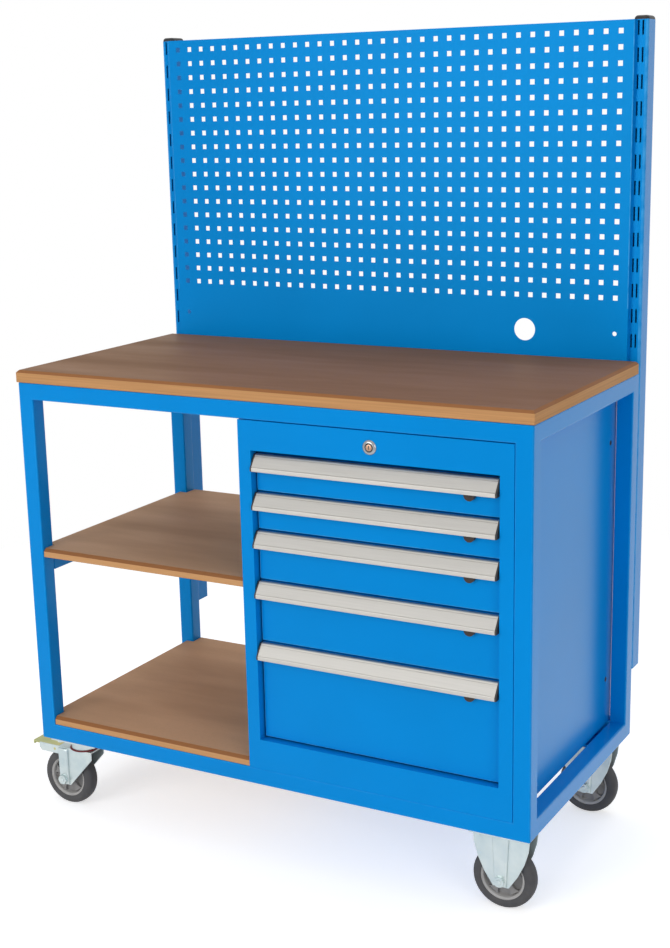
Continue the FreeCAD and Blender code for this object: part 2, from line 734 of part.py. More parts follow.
def lug_level(number):
    """Underside of the locking lug on the back of a tray."""
    return f"({drawer_levels(number)[1]} - tray_top_drop - lock_lug_thickness)"


def drawer_face(number, low, high, shank_limits):
    """A hollow front with a slot for the latch."""
    name, wall = f"drawer_{number}", "tray_sheet"
    front = box(f"{name}_front_slab", across(f"-{DRAWER_HALF}", DRAWER_HALF), (DRAWER_FACE, TRAY_FRONT),
                (low, high))
    cavity = box(f"{name}_front_cavity", across(f"-{DRAWER_HALF} + {wall}", f"{DRAWER_HALF} - {wall}"),
                 (f"{DRAWER_FACE} + {wall}", f"{TRAY_FRONT} - {wall}"),
                 (f"{low} + {wall}", f"{high} - {wall}"))
    half_slot = "(latch_shank_width / 2 + latch_clearance)"
    slot = box(f"{name}_latch_slot", (f"{LATCH_X} - {half_slot}", f"{LATCH_X} + {half_slot}"),
               (f"{DRAWER_FACE} - {wall}", f"{DRAWER_FACE} + 2 * {wall}"),
               (f"{shank_limits[0]} - latch_clearance",
                f"{shank_limits[1]} + latch_travel + latch_clearance"))
    return cut(f"{name}_face", front, [cavity, slot])


def drawer_lug(number):
    """A lug on the back of the tray, with an eye that a prong of the locking bar rises into."""
    name, low = f"drawer_{number}", lug_level(number)
    high = f"{low} + lock_lug_thickness"
    lug = box(f"{name}_lug", across("-lock_lug_width / 2", "lock_lug_width / 2"),
              (TRAY_REAR, f"{LOCK_BAR_FRONT} - lock_lug_clearance"), (low, high))
    prong_gap = "(lock_prong_width / 2 + lock_lug_clearance)"
    eye = box(f"{name}_lug_eye", across(f"-{prong_gap}", prong_gap), lock_prong_depth("lock_lug_clearance"),
              (low, high))
    return cut(f"{name}_lug_plate", lug, [eye])


def drawer(number):
    low, high = drawer_levels(number)
    shank_limits = latch_shank_limits(number)
    name, wall, half = f"drawer_{number}", "tray_sheet", "tray_width / 2"
    tray_low, tray_high = f"({low} + tray_floor_rise)", f"({high} - tray_top_drop)"
    tub = box(f"{name}_tub", across(f"-{half}", half), (TRAY_FRONT, TRAY_REAR), (tray_low, tray_high))
    inside = box(f"{name}_inside", across(f"-{half} + {wall}", f"{half} - {wall}"),
                 (f"{TRAY_FRONT} + {wall}", f"{TRAY_REAR} - {wall}"), (f"{tray_low} + {wall}", tray_high))
    pieces = [drawer_face(number, low, high, shank_limits), cut(f"{name}_tray", tub, [inside])]
    middle = slide_height(number)
    for side, sx in SIDES.items():
        pieces.append(box(f"{name}_runner_{side}", across_side(sx, half, RUNNER_OUT),
                          (SLIDE_FRONT, TRAY_REAR),
                          (f"{middle} - runner_height / 2", f"{middle} + runner_height / 2")))
    pieces.append(drawer_lug(number))
    node(fuse(f"{name}_sheet", pieces), name)

    middles = [channel(f"slide_{number}_{side}", sx, middle, MIDDLE_OUT, MIDDLE_HALF_HEIGHT)
               for side, sx in SIDES.items()]
    node(group(f"slide_middles_{number}_pair", middles), f"slide_middles_{number}")
    handle(number, high)
    latch(number, *shank_limits)


def lock_prong_depth(margin="0"):
    """Front and rear of the prongs that rise into the eyes of the tray lugs."""
    middle = f"(({TRAY_REAR} + {LOCK_BAR_FRONT} - lock_lug_clearance) / 2)"
    reach = f"(lock_prong_thickness / 2 + ({margin}))"
    return f"({middle} - {reach})", f"({middle} + {reach})"


def handle(number, top):
    """A thin aluminium section: back plate, top, sloping face and a lip that turns back."""
    reach, wall = "handle_reach", "handle_wall"
    slope = "((handle_reach - handle_top_depth) / (handle_height - lip_height))"
    section = [("0", "handle_height"), ("0", "handle_height - handle_back_height"),
               (wall, "handle_height - handle_back_height"), (wall, f"handle_height - {wall}"),
               (f"handle_top_depth - {wall} * {slope}", f"handle_height - {wall}"),
               (f"{reach} - {wall}", f"lip_height - {wall} / 2"), (f"{reach} - {wall}", wall),
               (f"{reach} - lip_return", wall), (f"{reach} - lip_return", "0"), (reach, "0"),
               (reach, "lip_height"), ("handle_top_depth", "handle_height")]
    start = at_cabinet(HANDLE_HALF)
    strip = extruded(f"handle_{number}_strip", "YZ_Plane", section, f"2 * {HANDLE_HALF}")
    facing = FreeCAD.Rotation(FreeCAD.Vector(0, 0, 1), 180)
    strip.Placement = FreeCAD.Placement(FreeCAD.Vector(), facing)
    place(strip, start, DRAWER_FACE, f"{top} - handle_height")
    node(strip, f"handle_{number}")

    cover = [("0", "handle_height"), ("0", "0"), (reach, "0"), (reach, "lip_height"),
             ("handle_top_depth", "handle_height")]
    caps = []
    for side, begin in (("right", f"{HANDLE_HALF} + end_cap_thickness"), ("left", f"-{HANDLE_HALF}")):
        cap = extruded(f"handle_cap_{number}_{side}", "YZ_Plane", cover, "end_cap_thickness")
        cap.Placement = FreeCAD.Placement(FreeCAD.Vector(), facing)
        caps.append(place(cap, at_cabinet(begin), DRAWER_FACE, f"{top} - handle_height"))
    node(group(f"handle_caps_{number}_pair", caps), f"handle_caps_{number}")


def latch(number, shank_low, shank_high):
    """A half-round thumb tab in the finger gap, on a shank through the drawer front."""
    middle = f"({drawer_levels(number)[1]} - handle_height)"
    tab_rear = f"({DRAWER_FACE} - latch_clearance)"
    tab_front = f"({tab_rear} - latch_thickness)"
    radius = "(latch_width / 2)"
    disc_height = f"({middle} - latch_drop + {radius})"
    disc = rod(f"latch_{number}_disc", "y", "latch_width", (LATCH_X, disc_height), (tab_front, tab_rear))
    block = box(f"latch_{number}_block", (f"{LATCH_X} - {radius}", f"{LATCH_X} + {radius}"),
                (tab_front, tab_rear), (disc_height, f"{middle} + latch_overlap"))
    keeper_front = f"({DRAWER_FACE} + tray_sheet + latch_clearance)"
    keeper_rear = f"({keeper_front} + latch_keeper_thickness)"
    half = "(latch_shank_width / 2)"
    shank = box(f"latch_{number}_shank", (f"{LATCH_X} - {half}", f"{LATCH_X} + {half}"),
                (tab_rear, keeper_front), (shank_low, shank_high))
    keeper_half = f"({half} + latch_keeper_margin)"
    keeper = box(f"latch_{number}_keeper", (f"{LATCH_X} - {keeper_half}", f"{LATCH_X} + {keeper_half}"),
                 (keeper_front, keeper_rear),
                 (f"{shank_low} - latch_keeper_margin", f"{shank_high} + latch_keeper_margin"))
    node(fuse(f"latch_{number}_lever", [disc, block, shank, keeper]), f"latch_{number}")


def about_centre(low, high):
    """Limits across the cabinet for a piece of the lock."""
    return f"{CABINET_CENTRE} - {low}", f"{CABINET_CENTRE} + {high}"


def lock_cylinder(pin_x, pin_z):
    """Barrel in the top strip and the plug in it, whose shaft and crank reach to the locking bar."""
    spot = (CABINET_CENTRE, LOCK_HEIGHT)
    front = f"-{HALF_DEPTH}"
    face = f"({front} - lock_flange_thickness)"
    flange = rod("lock_flange", "y", "lock_flange_diameter", spot, (face, front))
    back = f"({front} + lock_body_length)"
    barrel = rod("lock_body", "y", "lock_body_diameter", spot, (front, back))
    bore = rod("lock_bore", "y", "plug_diameter + 2 * running_fit", spot, (face, back))
    node(cut("lock_barrel_tube", fuse("lock_barrel_blank", [flange, barrel]), [bore]), "lock_barrel")

    plug = rod("lock_plug_core", "y", "plug_diameter", spot, (face, f"{face} + plug_length"))
    keyway = box("lock_keyway", about_centre("keyway_width / 2", "keyway_width / 2"),
                 (face, f"{face} + keyway_depth"),
                 (f"{LOCK_HEIGHT} - keyway_height / 2", f"{LOCK_HEIGHT} + keyway_height / 2"))
    shaft = rod("lock_shaft", "y", "shaft_diameter", spot, (f"{face} + plug_length", CABINET_REAR))
    crank_rear = f"({LOCK_BAR_FRONT} - slide_clearance)"
    crank_front = f"({crank_rear} - crank_thickness)"
    arm = box("lock_crank_arm", ("0", "crank_radius"), ("0", "crank_thickness"),
              ("-crank_width / 2", "crank_width / 2"))
    arm.Placement = FreeCAD.Placement(FreeCAD.Vector(), FreeCAD.Rotation(FreeCAD.Vector(0, 1, 0), 45))
    lean = "(crank_width / 2 * sin(45))"
    place(arm, f"{CABINET_CENTRE} - {lean}", crank_front, f"{LOCK_HEIGHT} - {lean}")
    knuckle = rod("lock_crank_knuckle", "y", "crank_width", (pin_x, pin_z), (crank_front, crank_rear))
    pin = rod("lock_crank_pin", "y", "crank_pin_diameter", (pin_x, pin_z), (crank_rear, LOCK_BAR_REAR))
    solid = fuse("lock_plug_solid", [plug, shaft, arm, knuckle, pin])
    node(cut("lock_plug_blank", solid, [keyway]), "lock_plug")


def locking_bar(pin_x, pin_z, half, bar_low):
    """A bar behind the drawers with one prong for each tray lug."""
    shaft_gap = "(shaft_diameter / 2 + crank_slot_clearance)"
    bar_top = f"({LOCK_HEIGHT} + {shaft_gap} + lock_bar_thickness)"
    thick = (LOCK_BAR_FRONT, LOCK_BAR_REAR)
    strip = box("lock_strip", about_centre(half, half), thick, (bar_low, bar_top))
    reach = "(crank_pin_diameter / 2 + crank_slot_clearance)"
    slot = box("lock_pin_slot", (f"{pin_x} - {reach}", f"{CABINET_CENTRE} + crank_radius + {reach}"), thick,
               (f"{pin_z} - {reach}", f"{pin_z} + {reach}"))
    relief = box("lock_shaft_relief", about_centre(shaft_gap, shaft_gap), thick,
                 (f"{LOCK_HEIGHT} - {LOCK_TRAVEL} - {shaft_gap}", f"{LOCK_HEIGHT} + {shaft_gap}"))
    pieces = [cut("lock_bar_strip", strip, [slot, relief])]
    near, far = lock_prong_depth()
    wide = across("-lock_prong_width / 2", "lock_prong_width / 2")
    for number in DRAWERS:
        rest = f"({lug_level(number)} - lock_lug_clearance)"
        foot = f"({rest} - lock_prong_height)"
        pieces.append(box(f"lock_prong_{number}", wide, (near, far), (foot, rest)))
        pieces.append(box(f"lock_arm_{number}", wide, (far, LOCK_BAR_FRONT),
                          (foot, f"{foot} + lock_prong_thickness")))
    node(fuse("lock_bar_solid", pieces), "lock_bar")


def central_lock():
    """Turning the key raises the locking bar, whose prongs then hold every drawer."""
    pin_x, pin_z = f"({CABINET_CENTRE} + {LOCK_PIN_DROP})", f"({LOCK_HEIGHT} - {LOCK_PIN_DROP})"
    half, bar_low = "(lock_bar_width / 2)", f"({OPENING_BOTTOM} + lock_bar_foot)"
    lock_cylinder(pin_x, pin_z)
    locking_bar(pin_x, pin_z, half, bar_low)

    # The upper guide sits just under the lowest reach of the top prong
    under_prong = f"({lug_level(1)} - lock_prong_height - 3 * lock_lug_clearance)"
    levels = {"low": f"({bar_low} + lock_guide_height)", "high": f"({under_prong} - lock_guide_height)"}
    span = f"({half} + slide_clearance)"
    wide = f"({span} + lock_guide_wall)"
    near = f"({LOCK_BAR_FRONT} - slide_clearance)"
    guides = []
    for level, height in levels.items():
        name, limits = f"lock_guide_{level}", (height, f"{height} + lock_guide_height")
        body = box(f"{name}_body", about_centre(wide, wide),
                   (f"{near} - lock_guide_wall", f"{CABINET_REAR} - cabinet_sheet"), limits)
        passage = box(f"{name}_channel", about_centre(span, span),
                      (near, f"{LOCK_BAR_REAR} + slide_clearance"), limits)
        guides.append(cut(name, body, [passage]))
    node(group("lock_guides_pair", guides), "lock_guides")


def corner(side, end):
    """Centre of a caster plate."""
    return signed(SIDES[side], CASTER_X), signed(ENDS[end], CASTER_Y)


def plate_bolt_places(side, end):
    x, y = corner(side, end)
    return [(f"{x} + {sx} * plate_bolt_length_spacing / 2", f"{y} + {sy} * plate_bolt_width_spacing / 2")
            for sx in (-1, 1) for sy in (-1, 1)]


def bolt_holes(name, side, end, limits):
    return [rod(f"{name}_hole_{count}", "z", "bolt_diameter + 2 * bolt_hole_clearance", spot, limits)
            for count, spot in enumerate(plate_bolt_places(side, end), start=1)]


def caster_plate(name, side, end):
    x, y = corner(side, end)
    limits = (PLATE_UNDER, "caster_height")
    plate = box(f"{name}_plate", (f"{x} - caster_plate_length / 2", f"{x} + caster_plate_length / 2"),
                (f"{y} - caster_plate_width / 2", f"{y} + caster_plate_width / 2"), limits)
    return cut(f"{name}_drilled", plate, bolt_holes(name, side, end, limits))


def cheeks(name, x, y, outline, start_x, start_z):
    """The two side plates of a fork, from an outline in the plane of the wheel."""
    plates = []
    for side, rear in (("front", f"{y} - {CHEEK_INSIDE}"), ("rear", f"{y} + {CHEEK_OUTSIDE}")):
        plate = extruded(f"{name}_cheek_{side}", "XZ_Plane", outline, "fork_wall")
        plates.append(place(plate, f"{x} + {start_x}", rear, start_z))
    return plates


def fork_axle_hole(name, x, y):
    return rod(f"{name}_axle_hole", "y", "axle_diameter + 2 * running_fit", (x, AXLE_HEIGHT),
               (f"{y} - {CHEEK_OUTSIDE}", f"{y} + {CHEEK_OUTSIDE}"))


def axle(name, x, y):
    reach = f"({CHEEK_OUTSIDE} + axle_head_height)"
    spot = (x, AXLE_HEIGHT)
    pin = rod(f"{name}_pin", "y", "axle_diameter", spot, (f"{y} - {reach}", f"{y} + {reach}"))
    near_limits = (f"{y} - {reach}", f"{y} - {CHEEK_OUTSIDE}")
    far_limits = (f"{y} + {CHEEK_OUTSIDE}", f"{y} + {reach}")
    head = hexagon(f"{name}_head", "y", "axle_head_radius", spot, near_limits)
    nut = hexagon(f"{name}_nut", "y", "axle_head_radius", spot, far_limits)
    return fuse(name, [pin, head, nut])


def wheel(label, x, y):
    inner, outer = "(rim_diameter / 2 + running_fit)", "(wheel_diameter / 2)"
    shoulder, curve = "tyre_shoulder", "tyre_shoulder * tyre_shoulder_curve"
    ring = [("0", inner), ("0", f"{outer} - {shoulder}"), (curve, f"{outer} - {curve}"), (shoulder, outer),
            (f"tyre_width - {shoulder}", outer), (f"tyre_width - {curve}", f"{outer} - {curve}"),
            ("tyre_width", f"{outer} - {shoulder}"), ("tyre_width", inner)]
    tyre = revolved(f"tyre_{label}_ring", ring)
    node(place(tyre, x, f"{y} - tyre_width / 2", AXLE_HEIGHT), f"tyre_{label}")

    web, hub, flange = "rim_web / 2", "hub_width / 2", "(rim_flange_depth / 2)"
    bore, boss, rim = "(axle_diameter / 2 + running_fit)", "(hub_diameter / 2)", "(rim_diameter / 2)"
    lip = f"({rim} - rim_rim_thickness)"
    profile = [("0", bore), ("0", boss), (f"{hub} - {web}", boss), (f"{hub} - {web}", lip),
               (f"{hub} - {flange}", lip), (f"{hub} - {flange}", rim), (f"{hub} + {flange}", rim),
               (f"{hub} + {flange}", lip), (f"{hub} + {web}", lip), (f"{hub} + {web}", boss),
               ("hub_width", boss), ("hub_width", bore)]
    core = revolved(f"wheel_rim_{label}_core", profile)
    node(place(core, x, f"{y} - {hub}", AXLE_HEIGHT), f"wheel_rim_{label}")


def bowed_side(rise, run):
    """Points between the top and the foot of a fork's side, moved out from the straight line by the bow."""
    return [(f"{run} * {step} - fork_bow * {4 * step * (1 - step)}", f"{rise} * {1 - step}")
            for step in (0.25, 0.5, 0.75)]


def fixed_caster(end):
    name = f"fixed_{end}"
    x, y = corner("right", end)
    foot = f"({AXLE_HEIGHT} - fork_foot_drop)"
    half = "(caster_plate_length / 2)"
    rise, run = f"({PLATE_UNDER} - {foot})", f"({half} - fork_foot_half)"
    left = [("0", rise)] + bowed_side(rise, run) + [(run, "0")]
    right = [(f"caster_plate_length - ({across_fork})", height) for across_fork, height in reversed(left)]
    plates = cheeks(name, x, y, left + right, f"-{half}", foot)
    fork = fuse(f"{name}_blank", [caster_plate(name, "right", end)] + plates)
    wheel(f"right_{end}", x, y)
    return cut(f"{name}_fork", fork, [fork_axle_hole(name, x, y)])


def swivel_plate(end):
    name = f"swivel_{end}"
    x, y = corner("left", end)
    race_under = f"({PLATE_UNDER} - race_height)"
    head_top = f"({CROWN_UNDER} - swivel_gap)"
    head_under = f"({head_top} - king_pin_head_height)"
    race = rod(f"{name}_race", "z", "race_diameter", (x, y), (race_under, PLATE_UNDER))
    pin = rod(f"{name}_king_pin", "z", "king_pin_diameter", (x, y), (head_under, race_under))
    head = rod(f"{name}_king_head", "z", "king_pin_head_diameter", (x, y), (head_under, head_top))
    return fuse(f"{name}_top", [caster_plate(name, "left", end), race, pin, head])


def swivel_caster(end):
    """A fork on a swivel; its upright cheeks carry two ears that hold the brake pedal."""
    name = f"swivel_{end}_fork"
    x, y = corner("left", end)
    wheel_x = f"({x} - swivel_trail)"
    foot = f"({AXLE_HEIGHT} - fork_foot_drop)"
    rise = f"({CROWN_TOP} - {foot})"
    shoulder = f"({rise} - ear_height)"
    length = "(swivel_rear_reach + swivel_front_reach)"
    axle_place = "(swivel_rear_reach - swivel_trail)"
    post_rear = f"({axle_place} - swivel_foot_half)"
    outline = [("0", rise), ("0", f"{shoulder} + ear_height / 3"), ("ear_height / 3", shoulder),
               (post_rear, shoulder), (post_rear, "0"), (f"{axle_place} + swivel_foot_half", "0"),
               (length, shoulder), (length, rise)]
    both_cheeks = (f"{y} - {CHEEK_OUTSIDE}", f"{y} + {CHEEK_OUTSIDE}")
    crown = box(f"{name}_crown", (f"{wheel_x} - swivel_foot_half", f"{x} + swivel_front_reach"), both_cheeks,
                (CROWN_UNDER, CROWN_TOP))
    blank = fuse(f"{name}_blank", [crown] + cheeks(name, x, y, outline, "-swivel_rear_reach", foot))
    king_hole = rod(f"{name}_king_hole", "z", "king_pin_diameter + 2 * running_fit", (x, y),
                    (CROWN_UNDER, CROWN_TOP))
    pivot = (f"{x} - pedal_pivot_reach", PEDAL_PIVOT_HEIGHT)
    pivot_hole = rod(f"{name}_pivot_hole", "y", "pedal_pin_diameter + 2 * running_fit", pivot, both_cheeks)
    fork = cut(f"{name}_sheet", blank, [king_hole, pivot_hole, fork_axle_hole(name, wheel_x, y)])
    node(group(f"{name}_set", [fork, axle(f"{name}_axle", wheel_x, y)]), f"swivel_fork_{end}")
    brake_pedal(end, x, y, rod(f"pedal_{end}_pin", "y", "pedal_pin_diameter", pivot, both_cheeks))
    wheel(f"left_{end}", wheel_x, y)


def brake_pedal(end, x, y, pin):
    """A tread that rises from its pin to a tip with a lip turned down."""
    thickness, tip_top = "pedal_thickness", "(pedal_rise + pedal_thickness)"
    lip_foot = f"({tip_top} - pedal_lip)"
    section = [("0", tip_top), ("0", lip_foot), (thickness, lip_foot),
               (thickness, f"pedal_rise * (1 - {thickness} / pedal_length)"), ("pedal_length", "0"),
               ("pedal_length", thickness)]
    tread = extruded(f"pedal_{end}_tread", "XZ_Plane", section, "pedal_width")
    place(tread, f"{x} - pedal_pivot_reach - pedal_length", f"{y} + pedal_width / 2",
          f"{PEDAL_PIVOT_HEIGHT} - {thickness}")
    node(fuse(f"pedal_{end}_lever", [pin, tread]), f"brake_pedal_{end}")


def casters():
    pads = []
    for side in SIDES:
        for end in ENDS:
            x, y = corner(side, end)
            name = f"pad_{end}_{side}"
            limits = ("caster_height", FRAME_BOTTOM)
            plate = box(f"{name}_plate", (f"{x} - pad_length / 2", f"{x} + pad_length / 2"),
                        (f"{y} - pad_width / 2", f"{y} + pad_width / 2"), limits)
            pads.append(cut(name, plate, bolt_holes(name, side, end, limits)))
    node(group("caster_pads_set", pads), "caster_pads")
    node(group("fixed_forks_pair", [fixed_caster(end) for end in ENDS]), "fixed_forks")
    node(group("swivel_plates_pair", [swivel_plate(end) for end in ENDS]), "swivel_plates")
    for end in ENDS:
        swivel_caster(end)


def bolt(name, axis, spot, shank_limits, head_limits):
    shank = rod(f"{name}_shank", axis, "bolt_diameter", spot, shank_limits)
    return fuse(name, [shank, hexagon(f"{name}_head", axis, "bolt_head_radius", spot, head_limits)])


def bolts():
    pieces = []
    under_head = f"({PLATE_UNDER} - bolt_head_height)"
    rear_head = f"({UPRIGHT_REAR} + bolt_head_height)"
    grip = f"({HALF_DEPTH} - upright_bolt_grip)"
    for side, sx in SIDES.items():
        for end in ENDS:
            for count, spot in enumerate(plate_bolt_places(side, end), start=1):
                pieces.append(bolt(f"plate_bolt_{end}_{side}_{count}", "z", spot,
                                   (PLATE_UNDER, FRAME_BOTTOM), (under_head, PLATE_UNDER)))
        for level, height in UPRIGHT_BOLTS.items():
            pieces.append(bolt(f"upright_bolt_{level}_{side}", "y", (signed(sx, UPRIGHT_CENTRE), height),
                               (grip, UPRIGHT_REAR), (UPRIGHT_REAR, rear_head)))
    for end in ENDS:
        x, y = corner("right", end)
        pieces.append(axle(f"fixed_axle_{end}", x, y))
    node(group("frame_bolts_set", pieces), "frame_bolts")


def write_parts():
    doc.recompute()
    failed = [thing.Name for thing in doc.Objects if {"Invalid", "Error"} & set(thing.State)]
    if failed:
        raise RuntimeError(f"failed objects: {failed}")
    for piece in NODES:
        if piece.Shape.isNull() or not piece.Shape.isValid():
            raise RuntimeError(f"bad shape: {piece.Label}")
    os.makedirs("parts", exist_ok=True)
    for piece in NODES:
        piece.Shape.exportStep(f"parts/{piece.Label}.step")
    print(len(NODES), "sub-parts")


bench_frame()
boards()
back_wall()
cabinet()
for drawer_number in DRAWERS:
    drawer(drawer_number)
central_lock()
casters()
bolts()
write_parts()
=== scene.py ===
import json
import math

import bmesh
import bpy
from mathutils import Matrix, Vector


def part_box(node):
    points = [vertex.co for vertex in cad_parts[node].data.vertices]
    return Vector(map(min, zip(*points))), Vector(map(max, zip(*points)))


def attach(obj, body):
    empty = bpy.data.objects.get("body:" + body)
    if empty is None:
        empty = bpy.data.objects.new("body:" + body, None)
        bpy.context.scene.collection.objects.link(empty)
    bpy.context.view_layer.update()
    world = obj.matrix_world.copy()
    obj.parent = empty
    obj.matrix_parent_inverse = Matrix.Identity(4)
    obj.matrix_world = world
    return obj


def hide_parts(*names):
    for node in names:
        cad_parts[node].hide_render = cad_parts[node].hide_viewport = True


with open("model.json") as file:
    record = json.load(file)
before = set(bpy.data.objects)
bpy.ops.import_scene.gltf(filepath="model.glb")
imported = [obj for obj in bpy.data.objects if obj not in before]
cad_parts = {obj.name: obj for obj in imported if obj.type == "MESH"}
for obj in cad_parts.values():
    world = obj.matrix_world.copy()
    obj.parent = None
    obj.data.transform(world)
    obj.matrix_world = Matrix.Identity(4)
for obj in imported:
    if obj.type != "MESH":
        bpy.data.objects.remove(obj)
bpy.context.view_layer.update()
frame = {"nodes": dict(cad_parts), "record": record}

bl_info = {
    "name": "Mobile Workbench",
    "version": (1, 0, 0),
    "blender": (4, 5, 0),
    "location": "3D View > Sidebar > Workbench",
    "description": "Dresses the workbench with its finishes, trim and studio stage",
    "category": "Object",
}

MM = 0.001
NODES = frame["nodes"]
BODY_OF = {node: body for body, nodes in frame["record"]["behaviour"]["bodies"].items() for node in nodes}
DRAWERS = range(1, 6)
ENDS = ("front", "rear")
UPRIGHTS = ("upright_left", "upright_right")
WHEELS = ("right_front", "right_rear", "left_front", "left_rear")

# Sizes that the pieces added here share with the CAD
TUBE_SIDE = 35 * MM
SWIVEL_TRAIL = 42 * MM
# The holes in the cabinet walls, which black rings cover as painted shade
HOLE_FROM_REAR = 33 * MM
HOLE_FROM_FLOOR = 98.5 * MM
HOLE_SPACING = 502.5 * MM

# How meshes are cleaned and rounded; room, strips and shortest edges are counted in radii
JOIN_DISTANCE = 0.01 * MM
WELD_DISTANCE = 0.05 * MM
HAIR = 0.1 * MM
FLAT_ANGLE = math.radians(0.5)
SHARP_ANGLE = math.radians(38)
OUTER_ANGLE = math.radians(40)
SHORTEST_EDGE = 4
FACE_ROOM = 2.5
STRIP_ROOM = 0.3
STRIP_WIDTH = 1.2
CORNER_SEGMENTS = 5
LONG_UPRIGHT_EDGE = 0.5
LONG_PANEL_EDGE = 0.3
# Mark on rounded faces, where the paint turns paler: wear and painted highlight.
EDGE_MARK = "rounded_edge"

# Values that several shaders use
WHITE = (1.0, 1.0, 1.0)
EVEN = (1, 1, 1)
NOISE_LOW = 0.3
NOISE_HIGH = 0.7


# Settings a user would change

def number(name, description, value, **limits):
    return bpy.props.FloatProperty(name=name, description=description, default=value, **limits)


def colour(name, description, red, green, blue):
    return bpy.props.FloatVectorProperty(name=name, description=description, subtype="COLOR", size=3,
                                         min=0.0, max=1.0, default=(red, green, blue))


def length(name, description, millimetres):
    return number(name, description, millimetres * MM, unit="LENGTH", min=0.0)


def share(name, description, value):
    return number(name, description, value, subtype="FACTOR", min=0.0, max=1.0)


def angle(name, description, degrees):
    return number(name, description, math.radians(degrees), subtype="ANGLE")


def power(name, description, watts):
    return number(name, description, watts, unit="POWER")


class WorkbenchFinishes(bpy.types.PropertyGroup):
    """Colours of the workbench"""
    paint: colour("Paint", "Blue powder coat", 0.0, 0.245, 0.68)
    # Paler edge colour: partly paint lying thin on the edges, partly a painted highlight along the bends.
    paint_thin_and_highlight: colour("Paint on edges", "Powder coat where it lies thin on an edge", 0.07, 0.40, 0.83)
    board: colour("Board face", "Brown hardboard face", 0.285, 0.14, 0.06)
    board_dark: colour("Board streak", "Darker streaks in the board face", 0.225, 0.11, 0.048)
    board_edge: colour("Board edge", "Sawn edge of the boards", 0.55, 0.285, 0.115)
    # The bevel colour is darker than the sawn edge: painted shade on the chamfer, which faces up and forward.
    board_bevel_shade: colour("Board bevel", "Sanded bevel along the boards", 0.30, 0.125, 0.045)
    # The shelf colours are the board colours made paler: painted light standing in for the light that falls
    # into the shelf bays.
    shelf: colour("Shelf face", "Paler face of the shelf boards", 0.65, 0.375, 0.208)
    lit_shelf_dark: colour("Shelf streak", "Darker streaks in the shelf boards", 0.50, 0.288, 0.16)
    aluminium: colour("Aluminium", "Anodised handle strips", 0.50, 0.485, 0.455)
    zinc: colour("Zinc", "Bright zinc plate", 0.60, 0.665, 0.655)
    zinc_tint: colour("Zinc tint", "Cooler patches in the zinc plate", 0.47, 0.56, 0.58)
    yellow_zinc: colour("Yellow zinc", "Yellow passivated zinc plate", 0.56, 0.50, 0.22)
    yellow_tint: colour("Yellow zinc tint", "Greenish patches in the yellow zinc", 0.36, 0.42, 0.20)
    chrome: colour("Chrome", "Bezel of the lock", 0.36, 0.37, 0.38)
    copper: colour("Copper", "Face of the lock plug", 0.52, 0.30, 0.20)
    black: colour("Black plastic", "Caps of the uprights", 0.012, 0.012, 0.013)
    cap: colour("Handle cap", "Moulded ends of the handles", 0.026, 0.025, 0.025)
    latch: colour("Latch", "Thumb latches under the handles", 0.028, 0.016, 0.012)
    rim: colour("Wheel disc", "Grey moulded wheel discs", 0.25, 0.245, 0.245)
    ring: colour("Wheel ring", "Paler ring round the wheel discs", 0.44, 0.43, 0.42)
    tyre: colour("Tyre", "Dark grey rubber", 0.062, 0.062, 0.067)
    dust: colour("Dust", "Dry dust on rubber and plastic", 0.33, 0.31, 0.28)
    seal: colour("Dust seal", "Ring in the swivel bearing", 0.17, 0.018, 0.022)


class WorkbenchTrim(bpy.types.PropertyGroup):
    """Sizes of the rounded edges and the added trim"""
    tube_edge: length("Tube edge", "Rounding of the frame tubes", 3.4)
    upright_edge: length("Upright edge", "Rounding of the upright tubes", 5.5)
    cap_saving: length("Cap saving", "How much lower the upright caps look than the room they have", 2.5)
    panel_edge: length("Panel edge", "Rounding of the perforated panel's bends", 3.0)
    front_edge: length("Drawer edge", "Rounding of the drawer fronts", 2.4)
    handle_crown: length("Handle crown", "Rounding along the top of the handles", 5.0)
    board_edge: length("Board edge", "Rounding of the sawn boards", 0.8)
    small_edge: length("Small edge", "Rounding of caps and levers", 0.7)
    latch_edge: length("Latch edge", "Rounding of the thumb latches", 1.6)
    groove: length("Handle groove", "Depth of the lines along the handles", 0.9)
    rib_height: length("Fork rib", "Height of the pressed rib on a fork", 4.6)
    # How strongly rounded edges take the paler paint: partly wear, partly a painted highlight.
    wear: share("Edge wear", "How far the paint thins along the edges", 0.75)
    dust: share("Dust", "Share of dust on the wheels", 0.22)


class WorkbenchStage(bpy.types.PropertyGroup):
    """Camera, lamps and floor"""
    camera_place: bpy.props.FloatVectorProperty(name="Camera place", description="Where the camera stands",
                                                subtype="TRANSLATION", default=(1.5142, -2.6903, 1.4706))
    yaw: angle("Yaw", "Turn of the camera to the left of straight back", 29.25)
    pitch: angle("Pitch", "Tilt of the camera above level", -13.83)
    roll: angle("Roll", "Lean of the camera", 1.28)
    lens: number("Lens", "Focal length in millimetres", 58.89)
    shift_x: number("Shift across", "Sideways shift of the picture", 0.0034)
    shift_y: number("Shift up", "Upward shift of the picture", 0.0139)
    floor: colour("Floor", "Pale studio floor", 0.94, 0.94, 0.945)
    floor_reach: number("Floor reach", "Half the side of the floor", 14.0, unit="LENGTH")
    fill: number("Fill light", "Strength of the light from all around", 0.46)
    floor_glow: share("Floor glow", "White that the camera sees on the floor under the bench", 0.53)
    key: power("Key lamp", "Power of the soft lamp in front", 98.0)
    side: power("Side lamp", "Power of the soft lamp at the right", 30.0)
    top: power("Top lamp", "Power of the soft lamp above", 34.0)


# Shader groups shared by the finishes

def feed(tree, socket, value):
    """Link a socket to another one, or give it a plain value; colours are opaque."""
    if isinstance(value, bpy.types.NodeSocket):
        tree.links.new(value, socket)
    elif socket.type == "RGBA":
        socket.default_value = (*value, 1.0)
    else:
        socket.default_value = value


